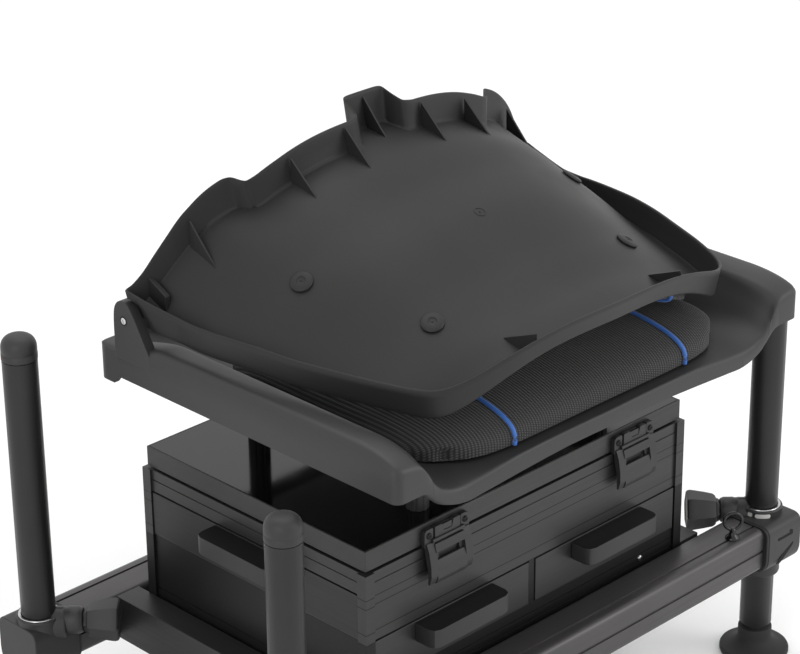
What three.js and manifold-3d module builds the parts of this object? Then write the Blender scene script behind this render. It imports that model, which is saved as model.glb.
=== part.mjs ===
// A match-fishing seat box: two drawer modules on a railed frame with four clamped legs,
// a lid, a moulded seat tray on posts, and a padded backrest that folds forward onto the seat.
// Millimetres, +Z up. X runs along the box's front, -Y is the front. While it is built, X = 0 is
// the box's middle, Y = 0 the lid's front edge and Z = 0 the ground.

import * as THREE from "three";
import { mergeVertices } from "three/addons/utils/BufferGeometryUtils.js";
import Module from "manifold-3d";

const wasm = await Module();
wasm.setup();

// Clearances and small values shared by every piece
const gap = 0.3; // between pieces that touch
const slip = 0.8; // between pieces that slide on each other
const overrun = 5; // how far a cutter runs past what it cuts
const weld = 0.0005; // vertices closer than this are one
const roundSides = 20;
const cornerSteps = 3; // steps in a rounded corner
const curveSamples = 120;

// Lid
const lidTopHeight = 350; // the lid's top face above the ground
const lidWidth = 465;
const lidDepth = 323;
const lidHeight = 22;
const lidWall = 4;
const lidSheetThickness = 2;
const lidSheetMargin = 1.6; // rim left showing round the glossy sheet
const lidLedge = 9; // the flange that carries the sheet
const lidLedgeThickness = 2;
const lidSeam = 2; // open line between lid and upper module

// Drawer modules
const postSize = 12; // corner post, square
const postProud = 4; // corner posts stand this far outside the lid
const panelInset = 2.5; // panels lie this far inside the posts' faces
const panelThickness = 3;
const plateThickness = 2;
const topTrayDepth = 22.5; // shallow tray under the lid
const sideCavityHeight = 49;
const frontCavityHeight = 50;
const lowerBaseHeight = 39.9; // closed base under the front drawers
const dividerThickness = 8;
const panelGrooveDepth = 0.8;
const panelGrooveHeight = 1.6;
const panelGroovePitch = 13;

// Drawers and their handles
const drawerWall = 2;
const drawerFrontThickness = 4;
const drawerFrontMargin = 1.2; // open line round a drawer front
const sideDrawerLength = 410;
const frontDrawerLength = 285;
const drawerHeadroom = 6; // drawer walls stop this far under the cavity's top
const handleLength = 110;
const handleReach = 27;
const handleHeight = 20;
const handleWall = 3;
const handleCorner = 9;
const handleDrop = 1.5; // handle's top under the drawer front's top edge
const handleCornerShare = 0.3; // how far the corner's middle point lies in

// Latches
const latchOffset = 127; // from the middle of the box to a latch
const latchRightOffset = 152;
const latchWidth = 64;
const latchBaseHeight = 14;
const latchBaseThickness = 3.5;
const latchBaseDrop = 4; // below the lid's top
const latchLeverHeight = 50;
const latchLeverThickness = 5;
const latchLeverWidth = 46;
const latchPinRadius = 2.4;
const latchEarWidth = 7;
const latchEarReach = 4.8; // from the pin's middle down and forward
const latchEarTop = 9.6; // ears' top above the pin
const latchWindowTop = 15; // lever's window below the pin
const latchWindowBottom = 27.5;
const latchLeverChamfer = 3.2; // top front corner cut back, so that the lever can swing up
const latchKeeperWidth = 26;
const latchKeeperHeight = 13;
const latchKeeperReach = 4.5;
const latchKeeperDrop = 34; // keeper's top below the lid's top
const latchKeeperClearance = 0.6;

// Lid hinge
const lidHingeLength = 380;
const lidHingeKnuckles = 5;
const lidHingePinRadius = 1.6;
const lidHingeBarrelRadius = 4;
const lidHingeLeafHeight = 16;
const lidHingeLeafThickness = 1.6;

// Legs, caps and feet
const legDiameter = 36;
const legWall = 2;
const legStandoff = 88; // side rail's outer face to the leg's centre
const legRailOffset = 7.3; // leg's centre behind the middle of its rail, towards the box
const frontLegTop = 421;
const rearLegTop = 477;
const capHeight = 26;
const capSkirt = 9;
const capWall = 2;
const capSkirtShare = 0.35; // straight part of the cap
const capSteps = 4;
const footDiameter = 78;
const footThickness = 8;
const footHeight = 38; // the leg's lower end above the ground
const footCupRadius = 19;
const footCupTop = 33;
const footNeckRadius = 12;
const footBallHeight = 48; // middle of the ball that tilts inside the leg
const footBallSteps = 6;

// Frame rails
const railSize = 50;
const railCorner = 7;
const railWall = 4;
const railGrooveWidth = 3;
const railGrooveDepth = 2;
const railGrooveSetback = 15; // from the rail's front edge
const rearRailStandoff = 17; // rear rail behind the box
const sideRailHeight = 50; // side rails are L-shaped: the box stands on their inner foot
const sideRailWidth = 30;
const sideRailFoot = 40;
const sideRailFootHeight = 30;

// Leg clamps: a body on the end of each rail, with the leg's collar standing on it
const clampWall = 6;
const clampCorner = 19;
const clampInnerReach = 32; // from leg centre towards the box
const clampOuterReach = 24;
const spigotLength = 60; // the clamp's plug inside the rail
const collarRadius = 23.5;
const collarRise = 10; // collar's top above the rails
const collarDrop = 24; // collar's bottom below the rails
const bossRadius = 14;
const bossReach = 46; // from leg centre along the knob's axis
const knobAxisRise = 1; // knob's axis above the rails' top
const knobRadius = 21.5;
const knobWaist = 15;
const knobLength = 27;
const knobStemLength = 8;
const knobScrewRadius = 5;
const knobScrewClearance = 0.6; // screw's end in front of the leg
const knobLobes = 6;
const knobLobeSteps = 6;
const knobNotchDepth = 3.6;
const eyeRingRadius = 10;
const eyeWireRadius = 1.8;
const eyeStudRadius = 3;
const eyeStudHeight = 9;
const eyeBaseRadius = 8;
const eyeBaseHeight = 5;
const eyeSetback = 72; // from the leg's centre, along the rail
const eyeTurn = Math.PI / 5;
const eyeWireSides = 6;
const eyeRingSides = 14;

// Seat tray
const trayHalfWidth = 290.8;
const trayFront = -104;
const trayBack = 317;
const trayStandoff = 104; // tray's floor above the lid
const trayArmRise = 57; // arm top above the tray's floor
const trayWallFoot = 6; // outer wall's bottom edge above the tray's floor
const trayThickness = 4.5;
const trayLipThickness = 5;
const trayFrontRound = 85; // length over which the arms round down at the front
const trayBackRise = 40;
const trayBackCurve = 48; // length over which the floor turns up at the back
const trayBackEaseStart = 96; // where the arms begin to sink towards the back wall
const trayBackEaseEnd = 16;
const trayFrontEasePower = 1.3;
const earTopHeight = 21; // ear above its pin
const earHalfWidth = 16;
const earFootForward = 38;
const earFootDrop = 30;
const earThickness = 11;
const pinY = 274.6;
const pinRise = 70; // pin above the tray's floor
const pinRadius = 3.5;
const pinInset = 1.2; // pin's inner end inside the lug
const postRadius = 11.5;
const postFluteDepth = 1.1;
const postFlutes = 10;
const postFluteSteps = 4;
const postOffsetX = 132;
const frontPostY = 30;
const rearPostY = 262;

// Seat cushion
const seatCushionInset = 67.8; // cushion's sides inside the tray's outer wall
const seatCushionFront = -88;
const seatCushionBack = 252;
const seatCushionThickness = 48;
const seatCushionPull = 5; // sides draw in by this between the corners
const seatCushionCorner = 26; // how far each corner is rounded in
const seatCushionEdgeShare = 0.08; // the edge lies near the underside
const seatCushionCrownShare = 0.16;
const cushionEdgeHeight = 8;
const pipingOffset = 124;
const pipingRidge = 2.6;
const pipingHalfWidth = 3;
const cushionCornerPower = 5;
const cushionSidePower = 3;
const fullnessAcrossPower = 7;
const fullnessAlongPower = 5;

// Backrest, in its folded place: it lies over the seat, hinged at the back
const shellInset = 2.8; // the rim's widest place inside the tray's outer wall
const shellLength = 387.6; // from the pin to the middle of the free edge
const shellDraft = 6;
const shellWall = 3;
const shellSkin = 3;
const shellRimRise = 27;
const shellCentreRise = 137; // the middle above the sides, at the hinge end
const shellAboveCushion = 4.2; // the sides' floor at the free end, above the seat cushion
const shellSideLift = 21; // how much higher the sides are at the hinge end
const shellArchPower = 2.6;
const shellCentreForward = 195; // the middle of the dome, in front of the pin
const lugThickness = 6;
const lugInset = 32; // lug's outer face inside the tray's outer wall
const lugHalfWidth = 15;
const lugReach = 34;
const gussetThickness = 2;
const gussetLength = 30;
const gussetSetIn = 5.4; // gusset's outer edge inside the rim's outline
const gussetHeight = 24.3;
const earClearance = 6;
const earTopClearance = 1.2;
const earClearanceReach = 32; // room behind the ear for the rim to swing
const rivetHeadRadius = 11.5;
const rivetHeadHeight = 3;
const rivetStemRadius = 3;
const rivetStemLength = 3;
const rivetClearance = 0.9; // under the head, which bridges the curve of the dome

// Backrest cushion
const backCushionInset = 92; // cushion's sides inside the rim's widest place
const backCushionFront = -92;
const backCushionBack = 196;
const backCushionThickness = 34;
const backCushionPull = 5;
const backCushionCorner = 26;
const backCushionEdgeShare = 0.85; // the edge lies near the shell
const backPipingOffset = 112;
const backCushionClearance = 2.4; // between cushion and shell

// Joining and cutting

function toSolid(geometry) {
  const bare = geometry.clone();
  for (const name of ["normal", "uv"]) bare.deleteAttribute(name);
  const welded = mergeVertices(bare, weld);
  return new wasm.Manifold(new wasm.Mesh({
    numProp: 3,
    vertProperties: Float32Array.from(welded.attributes.position.array),
    triVerts: Uint32Array.from(welded.index.array),
  }));
}

function toGeometry(solid) {
  const mesh = solid.getMesh();
  const geometry = new THREE.BufferGeometry();
  geometry.setAttribute("position", new THREE.BufferAttribute(mesh.vertProperties, 3));
  geometry.setIndex(new THREE.BufferAttribute(mesh.triVerts, 1));
  return geometry;
}

function join(...geometries) {
  return toGeometry(geometries.map(toSolid).reduce((whole, part) => whole.add(part)));
}

function cut(geometry, ...cutters) {
  return toGeometry(cutters.map(toSolid).reduce((whole, tool) => whole.subtract(tool), toSolid(geometry)));
}

// Basic bodies, all placed by their own limits

function block(x0, x1, y0, y1, z0, z1) {
  const geometry = new THREE.BoxGeometry(x1 - x0, y1 - y0, z1 - z0);
  return geometry.translate((x0 + x1) / 2, (y0 + y1) / 2, (z0 + z1) / 2);
}

// An outline pulled straight along an axis: (y, z) along x, (x, z) along y, (x, y) along z
function prism(axis, points, from, to) {
  const shape = new THREE.Shape(points.map(([a, b]) => new THREE.Vector2(a, b)));
  const geometry = new THREE.ExtrudeGeometry(shape, { depth: to - from, bevelEnabled: false });
  const ex = new THREE.Vector3(1, 0, 0);
  const ey = new THREE.Vector3(0, 1, 0);
  const ez = new THREE.Vector3(0, 0, 1);
  const turn = new THREE.Matrix4();
  if (axis === "x") turn.makeBasis(ey, ez, ex).setPosition(from, 0, 0);
  if (axis === "y") turn.makeBasis(ex, ez, ey.negate()).setPosition(0, to, 0);
  if (axis === "z") turn.makeBasis(ex, ey, ez).setPosition(0, 0, from);
  return geometry.applyMatrix4(turn);
}

// The two ends of a stretch on one side of the middle, the lower one first
function span(side, near, far) {
  return [side * near, side * far].sort((a, b) => a - b);
}

function circlePoints(radius, u, v, sides = roundSides) {
  const points = [];
  for (let i = 0; i < sides; i++) {
    const angle = (i / sides) * 2 * Math.PI;
    points.push([u + radius * Math.cos(angle), v + radius * Math.sin(angle)]);
  }
  return points;
}

function rod(axis, radius, from, to, u, v, sides = roundSides) {
  return prism(axis, circlePoints(radius, u, v, sides), from, to);
}

// A rectangle with rounded corners
function roundedRectangle(u0, u1, v0, v1, corner) {
  const points = [];
  const arcs = [[u1, v0, -1, 1, -90], [u1, v1, -1, -1, 0], [u0, v1, 1, -1, 90], [u0, v0, 1, 1, 180]];
  for (const [u, v, du, dv, start] of arcs) {
    for (let i = 0; i <= cornerSteps; i++) {
      const angle = THREE.MathUtils.degToRad(start + (90 / cornerSteps) * i);
      points.push([u + corner * (du + Math.cos(angle)), v + corner * (dv + Math.sin(angle))]);
    }
  }
  return points;
}

// A closed solid between two grids of points, rows of equal length, the first grid on top
function slab(top, bottom) {
  const rows = top.length;
  const columns = top[0].length;
  const points = [...top.flat(), ...bottom.flat()];
  const at = (layer, r, c) => layer * rows * columns + r * columns + c;
  const index = [];
  const quad = (a, b, c, d) => index.push(a, b, c, a, c, d);
  for (let r = 0; r < rows - 1; r++) {
    for (let c = 0; c < columns - 1; c++) {
      quad(at(0, r, c), at(0, r, c + 1), at(0, r + 1, c + 1), at(0, r + 1, c));
      quad(at(1, r, c), at(1, r + 1, c), at(1, r + 1, c + 1), at(1, r, c + 1));
    }
  }
  for (let c = 0; c < columns - 1; c++) {
    quad(at(0, 0, c), at(1, 0, c), at(1, 0, c + 1), at(0, 0, c + 1));
    quad(at(0, rows - 1, c), at(0, rows - 1, c + 1), at(1, rows - 1, c + 1), at(1, rows - 1, c));
  }
  for (let r = 0; r < rows - 1; r++) {
    quad(at(0, r, 0), at(0, r + 1, 0), at(1, r + 1, 0), at(1, r, 0));
    quad(at(0, r, columns - 1), at(1, r, columns - 1), at(1, r + 1, columns - 1), at(0, r + 1, columns - 1));
  }
  const geometry = new THREE.BufferGeometry();
  geometry.setAttribute("position", new THREE.Float32BufferAttribute(points.flat(), 3));
  geometry.setIndex(index);
  return geometry;
}

// A closed solid from rings of points, each ring once round, closed by a point at each end
function ringSkin(firstPole, rings, lastPole) {
  const count = rings[0].length;
  const points = [firstPole, ...rings.flat(), lastPole];
  const last = points.length - 1;
  const at = (r, i) => 1 + r * count + (i % count);
  const index = [];
  for (let i = 0; i < count; i++) {
    index.push(0, at(0, i + 1), at(0, i));
    index.push(last, at(rings.length - 1, i), at(rings.length - 1, i + 1));
    for (let r = 0; r < rings.length - 1; r++) {
      index.push(at(r, i), at(r + 1, i + 1), at(r + 1, i), at(r, i), at(r, i + 1), at(r + 1, i + 1));
    }
  }
  const geometry = new THREE.BufferGeometry();
  geometry.setAttribute("position", new THREE.Float32BufferAttribute(points.flat(), 3));
  geometry.setIndex(index);
  return geometry;
}

// A smooth curve of one value over another, through points chosen by hand
function curveThrough(pairs) {
  const points = pairs.map(([t, v]) => new THREE.Vector3(t, v, 0));
  const curve = new THREE.CatmullRomCurve3(points, false, "centripetal");
  const samples = curve.getPoints(curveSamples);
  return (t) => {
    if (t <= samples[0].x) return samples[0].y;
    const next = samples.findIndex((sample) => sample.x >= t);
    if (next < 0) return samples[samples.length - 1].y;
    const [a, b] = [samples[next - 1], samples[next]];
    return THREE.MathUtils.lerp(a.y, b.y, (t - a.x) / (b.x - a.x));
  };
}

// Materials

function finish(color, roughness, metalness = 0) {
  return new THREE.MeshStandardMaterial({ color, roughness, metalness });
}

const mouldedPlastic = 0x3c3b3b;
const anodised = 0x3a3a3a;
const satinTube = 0x454545;
const glossSheet = 0x050505;
const fabric = 0x2b2b2b;
const steel = 0xb8b8b8;

const model = new THREE.Group();

function add(name, geometry, material) {
  const mesh = new THREE.Mesh(geometry, material);
  mesh.name = name;
  model.add(mesh);
  return mesh;
}

// Heights and places that follow from the sizes above
const lidBottom = lidTopHeight - lidHeight;
const upperTop = lidBottom - lidSeam;
const sideCavityTop = upperTop - topTrayDepth - plateThickness;
const sideCavityBottom = sideCavityTop - sideCavityHeight;
const upperBottom = sideCavityBottom - plateThickness;
const lowerTop = upperBottom - gap;
const frontCavityBottom = lowerTop - frontCavityHeight;
const lowerBottom = frontCavityBottom - plateThickness - lowerBaseHeight;
const railBottomHeight = lowerBottom - gap - sideRailFootHeight;
const railTopHeight = railBottomHeight + railSize;
const collarTopHeight = railTopHeight + collarRise;
const collarBottomHeight = railBottomHeight - collarDrop;
const knobAxisHeight = railTopHeight + knobAxisRise;
const trayFloorHeight = lidTopHeight + trayStandoff;
const pinHeight = trayFloorHeight + pinRise;
const shellSideHeight = trayFloorHeight + slip + seatCushionThickness + shellAboveCushion;
const shellHalfWidth = trayHalfWidth - shellInset;
const seatCushionHalfWidth = trayHalfWidth - seatCushionInset;
const backCushionHalfWidth = shellHalfWidth - backCushionInset;
const lidLeft = -lidWidth / 2;
const lidRight = lidWidth / 2;
const outerX = lidRight + postProud;
const outerFront = -postProud;
const outerBack = lidDepth + postProud;
const innerX = outerX - panelInset - panelThickness;
const innerFront = outerFront + panelInset + panelThickness;
const innerBack = outerBack - panelInset - panelThickness;

// Frame: two hollow grooved rails across, and two L-shaped side rails that carry the box

const frontRailY = outerFront - gap - railSize / 2;
const rearRailY = outerBack + gap + railSize / 2 + rearRailStandoff;
const frontLegY = frontRailY + legRailOffset;
const rearLegY = rearRailY - legRailOffset;
const legHalfSpacing = outerX + gap + sideRailWidth + legStandoff;
const railHalfLength = legHalfSpacing - clampInnerReach - gap;

function rail(middleY) {
  const y0 = middleY - railSize / 2;
  const y1 = middleY + railSize / 2;
  const z0 = railBottomHeight;
  const z1 = railTopHeight;
  const long = railHalfLength + overrun;
  const half = railGrooveWidth / 2;
  const middle = (z0 + z1) / 2;
  const bar = prism("x", roundedRectangle(y0, y1, z0, z1, railCorner), -railHalfLength, railHalfLength);
  const inside = block(-long, long, y0 + railWall, y1 - railWall, z0 + railWall, z1 - railWall);
  const grooveY = middleY < 0 ? y0 + railGrooveSetback : y1 - railGrooveSetback;
  const top = block(-long, long, grooveY - half, grooveY + half, z1 - railGrooveDepth, z1 + overrun);
  const front = block(-long, long, y0 - overrun, y0 + railGrooveDepth, middle - half, middle + half);
  const back = block(-long, long, y1 - railGrooveDepth, y1 + overrun, middle - half, middle + half);
  return cut(bar, inside, top, front, back);
}

// Where the eye screws stand in the front rail's groove
const eyeX = legHalfSpacing - eyeSetback;
const eyeY = frontRailY - railSize / 2 + railGrooveSetback;

function buildFrame() {
  const aluminium = finish(anodised, 0.45, 0.6);
  const eyeHoles = [-1, 1].map((side) => rod("z", eyeStudRadius + gap, railTopHeight - railWall - overrun,
    railTopHeight + overrun, side * eyeX, eyeY, roundSides / 2));
  add("front_rail", cut(rail(frontRailY), ...eyeHoles), aluminium.clone());
  add("rear_rail", rail(rearRailY), aluminium.clone());
  for (const [name, side] of [["left_side_rail", -1], ["right_side_rail", 1]]) {
    const inner = outerX + gap;
    const outer = inner + sideRailWidth;
    const foot = outerX - sideRailFoot;
    const top = railBottomHeight + sideRailHeight;
    const step = railBottomHeight + sideRailFootHeight;
    const section = [[foot, railBottomHeight], [outer, railBottomHeight], [outer, top], [inner, top],
      [inner, step], [foot, step]];
    const outline = section.map(([x, z]) => [side * x, z]);
    if (side < 0) outline.reverse();
    const bar = prism("y", outline, frontRailY + railSize / 2 + gap, rearRailY - railSize / 2 - gap);
    add(name, bar, aluminium.clone());
  }
}

// Legs, caps, feet and the clamps that hold them

const corners = [
  { name: "front_left", side: -1, front: true },
  { name: "front_right", side: 1, front: true },
  { name: "rear_left", side: -1, front: false },
  { name: "rear_right", side: 1, front: false },
];

function turned(profile, x, y, sides = roundSides) {
  const points = profile.map(([r, z]) => new THREE.Vector2(r, z));
  return new THREE.LatheGeometry(points, sides).rotateX(Math.PI / 2).translate(x, y, 0);
}

function buildLeg({ name, side, front }) {
  const x = side * legHalfSpacing;
  const y = front ? frontLegY : rearLegY;
  const top = front ? frontLegTop : rearLegTop;
  const r = legDiameter / 2;
  const capFloor = top + gap;
  const tubeBottom = footHeight + gap;
  const bore = rod("z", r - legWall, tubeBottom - overrun, top + overrun, x, y);
  const tube = cut(rod("z", r, tubeBottom, top, x, y), bore);
  add(`${name}_leg`, tube, finish(satinTube, 0.5, 0.4));
  const plugRadius = r - legWall - gap;
  const cap = [[0, top - capSkirt], [plugRadius, top - capSkirt], [plugRadius, capFloor], [r, capFloor],
    [r + gap, capFloor + capWall]];
  const domeBottom = capFloor + capHeight * capSkirtShare;
  for (let i = 0; i < capSteps; i++) {
    const angle = (i / capSteps) * Math.PI / 2;
    cap.push([r * Math.cos(angle), domeBottom + capHeight * (1 - capSkirtShare) * Math.sin(angle)]);
  }
  cap.push([0, capFloor + capHeight]);
  add(`${name}_leg_cap`, turned(cap, x, y), finish(mouldedPlastic, 0.6));
  const foot = [[0, 0], [footDiameter / 2, 0], [footDiameter / 2, footThickness],
    [footCupRadius, footThickness * 2], [footCupRadius, footCupTop], [footNeckRadius, footCupTop]];
  const ballRadius = r - legWall - gap;
  const neckAngle = Math.acos(footNeckRadius / ballRadius);
  for (let i = 0; i < footBallSteps; i++) {
    const angle = THREE.MathUtils.lerp(-neckAngle, Math.PI / 2, i / footBallSteps);
    foot.push([ballRadius * Math.cos(angle), footBallHeight + ballRadius * Math.sin(angle)]);
  }
  foot.push([0, footBallHeight + ballRadius]);
  add(`${name}_foot`, turned(foot, x, y), finish(mouldedPlastic, 0.7));
}

function knobDirection({ side, front }) {
  return new THREE.Vector2(-side, front ? 1 : -1).normalize();
}

// A body of revolution laid along a horizontal direction, starting at a distance from the leg
function alongKnob(geometry, corner, x, y) {
  const d = knobDirection(corner);
  const basis = new THREE.Matrix4().makeBasis(new THREE.Vector3(-d.y, d.x, 0), new THREE.Vector3(0, 0, 1),
    new THREE.Vector3(d.x, d.y, 0));
  return geometry.applyMatrix4(basis.setPosition(x, y, knobAxisHeight));
}

function knobOutline() {
  const shape = [];
  const steps = knobLobes * knobLobeSteps;
  for (let i = 0; i < steps; i++) {
    const angle = (i / steps) * 2 * Math.PI;
    const notch = Math.max(0, Math.cos(angle * knobLobes)) ** 2;
    const radius = knobRadius - knobNotchDepth * notch;
    shape.push([radius * Math.cos(angle), radius * Math.sin(angle)]);
  }
  return shape;
}

function buildClamp(corner) {
  const { name, side, front } = corner;
  const x = side * legHalfSpacing;
  const y = front ? frontLegY : rearLegY;
  const railY = front ? frontRailY : rearRailY;
  const mouth = legHalfSpacing - clampInnerReach;
  const half = railSize / 2 + clampWall;
  const z0 = railBottomHeight - clampWall;
  const z1 = railTopHeight + clampWall;
  const body = prism("x", roundedRectangle(railY - half, railY + half, z0, z1, clampCorner),
    ...span(side, mouth, legHalfSpacing + clampOuterReach));
  const plug = railSize / 2 - railWall - gap;
  const plugZ = (railBottomHeight + railTopHeight) / 2;
  const spigot = block(...span(side, mouth - spigotLength, mouth + clampWall), railY - plug, railY + plug,
    plugZ - plug, plugZ + plug);
  const collar = rod("z", collarRadius, collarBottomHeight, collarTopHeight, x, y);
  const room = railSize / 2 + gap;
  const railSpace = block(...span(side, mouth - spigotLength, mouth), railY - room, railY + room,
    railBottomHeight - gap, railTopHeight + gap);
  const bossRod = prism("z", circlePoints(bossRadius, 0, 0), 0, bossReach);
  const boss = cut(alongKnob(bossRod, corner, x, y), railSpace);
  const bore = rod("z", legDiameter / 2 + gap, collarBottomHeight - overrun, collarTopHeight + overrun, x, y);
  const screwHole = alongKnob(prism("z", circlePoints(knobScrewRadius + gap, 0, 0),
    legDiameter / 2, bossReach + overrun), corner, x, y);
  add(`${name}_clamp`, cut(join(body, spigot, collar, boss), bore, screwHole), finish(mouldedPlastic, 0.6));

  const start = bossReach + gap;
  const head = prism("z", knobOutline(), start + knobStemLength, start + knobStemLength + knobLength);
  const stem = prism("z", circlePoints(knobWaist, 0, 0), start, start + knobStemLength + overrun);
  const screw = prism("z", circlePoints(knobScrewRadius, 0, 0, roundSides / 2),
    legDiameter / 2 + knobScrewClearance, start + overrun);
  add(`${name}_clamp_knob`, alongKnob(join(head, stem, screw), corner, x, y), finish(mouldedPlastic, 0.6));
}

// Eye screw that locks a front clamp's plug in the rail
function buildEyeScrew({ name, side }) {
  const x = side * eyeX;
  const ringBottom = railTopHeight + eyeStudHeight;
  const stud = rod("z", eyeStudRadius, railTopHeight - railWall + gap, ringBottom + eyeWireRadius * 2,
    x, eyeY, roundSides / 2);
  const base = rod("z", eyeBaseRadius, railTopHeight + gap, railTopHeight + gap + eyeBaseHeight, x, eyeY);
  const ring = new THREE.TorusGeometry(eyeRingRadius, eyeWireRadius, eyeWireSides, eyeRingSides)
    .rotateX(Math.PI / 2).rotateZ(side * eyeTurn)
    .translate(x, eyeY, ringBottom + eyeRingRadius + eyeWireRadius);
  add(`${name}_eye_screw`, join(stud, base, ring), finish(satinTube, 0.35, 0.8));
}

// Drawer modules: corner posts, grooved panels, plates, and the drawer openings

function modulePosts(z0, z1) {
  const posts = [];
  for (const x of [-outerX, outerX - postSize]) {
    for (const y of [outerFront, outerBack - postSize]) {
      posts.push(block(x, x + postSize, y, y + postSize, z0, z1));
    }
  }
  return posts;
}

function moduleShell(z0, z1) {
  const face = panelInset;
  const walls = cut(block(-outerX + face, outerX - face, outerFront + face, outerBack - face, z0, z1),
    block(-innerX, innerX, innerFront, innerBack, z0 - overrun, z1 + overrun));
  return join(walls, ...modulePosts(z0, z1));
}

// Long shallow grooves round a module, between two heights
function panelGrooves(z0, z1) {
  const cutters = [];
  const count = Math.floor((z1 - z0) / panelGroovePitch);
  const depth = panelInset + panelGrooveDepth;
  for (let i = 1; i <= count; i++) {
    const z = z0 + ((z1 - z0) * i) / (count + 1);
    const low = z - panelGrooveHeight / 2;
    const high = z + panelGrooveHeight / 2;
    const x = outerX - postSize - gap;
    const y0 = outerFront + postSize + gap;
    const y1 = outerBack - postSize - gap;
    cutters.push(block(-x, x, outerFront - overrun, outerFront + depth, low, high));
    cutters.push(block(-outerX - overrun, -outerX + depth, y0, y1, low, high));
    cutters.push(block(outerX - depth, outerX + overrun, y0, y1, low, high));
  }
  return cutters;
}

function plate(z0, z1) {
  return block(-innerX - gap, innerX + gap, innerFront - gap, innerBack + gap, z0, z1);
}

const sideOpening = { y0: outerFront + postSize, y1: outerBack - postSize };
const frontOpening = { outer: outerX - postSize, inner: dividerThickness / 2 };

function buildModules() {
  const aluminium = finish(anodised, 0.45, 0.6);
  const upperHole = block(-outerX - overrun, -innerX + overrun, sideOpening.y0, sideOpening.y1,
    sideCavityBottom, sideCavityTop);
  const upper = join(moduleShell(upperBottom, upperTop), plate(sideCavityTop, sideCavityTop + plateThickness),
    plate(upperBottom, sideCavityBottom));
  const upperGrooves = panelGrooves(sideCavityTop + plateThickness, upperTop);
  add("upper_box", cut(upper, upperHole, ...upperGrooves), aluminium.clone());

  const divider = block(-frontOpening.inner, frontOpening.inner, outerFront + panelInset, innerBack + gap,
    frontCavityBottom - gap, lowerTop);
  const lower = join(moduleShell(lowerBottom, lowerTop),
    plate(frontCavityBottom - plateThickness, frontCavityBottom), divider);
  const holes = [-1, 1].map((side) => {
    const ends = span(side, frontOpening.inner, frontOpening.outer);
    return block(...ends, outerFront - overrun, innerFront + overrun, frontCavityBottom, lowerTop + overrun);
  });
  const grooves = panelGrooves(lowerBottom, frontCavityBottom - plateThickness);
  add("lower_box", cut(lower, ...holes, ...grooves), aluminium.clone());
}

// A drawer tray that slides along -y in its own frame, its front face at y = 0
function drawerBody(width, length, height, frontHeight) {
  const w = width / 2;
  const back = drawerFrontThickness + length;
  const box = block(-w, w, drawerFrontThickness - gap, back, 0, height);
  const inside = block(-w + drawerWall, w - drawerWall, drawerFrontThickness, back - drawerWall, drawerWall,
    height + overrun);
  const face = block(-w, w, 0, drawerFrontThickness, 0, frontHeight);
  return join(cut(box, inside), face);
}

// Hooded pull handle, open underneath, its mounting face at y = 0
function handleBody() {
  const outline = (inset) => {
    const w = handleLength / 2 - inset;
    const reach = handleReach - inset;
    const c = handleCorner - inset;
    const middle = c * handleCornerShare;
    return [[w, 0], [w, -reach + c], [w - middle, -reach + middle], [w - c, -reach], [-w + c, -reach],
      [-w + middle, -reach + middle], [-w, -reach + c], [-w, 0]];
  };
  const hood = prism("z", outline(0), -handleHeight, 0);
  const pocket = prism("z", outline(handleWall), -handleHeight - overrun, -handleWall);
  const back = block(-handleLength / 2 + handleWall, handleLength / 2 - handleWall, -handleWall, 0,
    -handleHeight, -handleWall + gap);
  return join(cut(hood, pocket), back);
}

function buildDrawers() {
  const aluminium = finish(anodised, 0.45, 0.6);
  const plastic = finish(mouldedPlastic, 0.6);
  const margin = drawerFrontMargin;
  const sideWidth = sideOpening.y1 - sideOpening.y0 - margin * 2;
  const sideFront = sideCavityHeight - margin - gap;
  const sideMiddle = (sideOpening.y0 + sideOpening.y1) / 2;
  const turnLeft = (geometry) => geometry.rotateZ(-Math.PI / 2);
  const sideX = -outerX + panelInset / 2;
  const sideHeight = sideCavityHeight - drawerHeadroom;
  add("side_drawer", turnLeft(drawerBody(sideWidth, sideDrawerLength, sideHeight, sideFront))
    .translate(sideX, sideMiddle, sideCavityBottom + gap), aluminium.clone());
  add("side_drawer_handle", turnLeft(handleBody())
    .translate(sideX - gap, sideMiddle, sideCavityBottom + gap + sideFront - handleDrop), plastic.clone());

  const frontWidth = frontOpening.outer - frontOpening.inner - margin * 2;
  const frontFace = frontCavityHeight - margin - gap;
  const frontY = outerFront + panelInset / 2;
  for (const [name, side] of [["left_front_drawer", -1], ["right_front_drawer", 1]]) {
    const x = side * (frontOpening.inner + frontOpening.outer) / 2;
    add(name, drawerBody(frontWidth, frontDrawerLength, frontCavityHeight - drawerHeadroom, frontFace)
      .translate(x, frontY, frontCavityBottom + gap), aluminium.clone());
    add(`${name}_handle`, handleBody()
      .translate(x, frontY - gap, frontCavityBottom + gap + frontFace - handleDrop), plastic.clone());
  }
}

// Lid: a rim with a ledge, and the glossy sheet that lies on it

function buildLid() {
  const sheetBottom = lidTopHeight - lidSheetThickness;
  const inset = lidSheetMargin;
  const rim = cut(block(lidLeft, lidRight, 0, lidDepth, lidBottom, lidTopHeight),
    block(lidLeft + inset, lidRight - inset, inset, lidDepth - inset, sheetBottom - gap,
      lidTopHeight + overrun),
    block(lidLeft + lidWall, lidRight - lidWall, lidWall, lidDepth - lidWall, lidBottom - overrun,
      sheetBottom - gap - lidLedgeThickness),
    block(lidLeft + lidLedge, lidRight - lidLedge, lidLedge, lidDepth - lidLedge, lidBottom - overrun,
      lidTopHeight + overrun));
  add("lid_frame", rim, finish(anodised, 0.45, 0.6));
  const edge = inset + gap;
  add("lid_sheet", block(lidLeft + edge, lidRight - edge, edge, lidDepth - edge, sheetBottom, lidTopHeight),
    finish(glossSheet, 0.08));
}

// Lid hinge along the back: two leaves with interleaved knuckles on one pin

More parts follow.
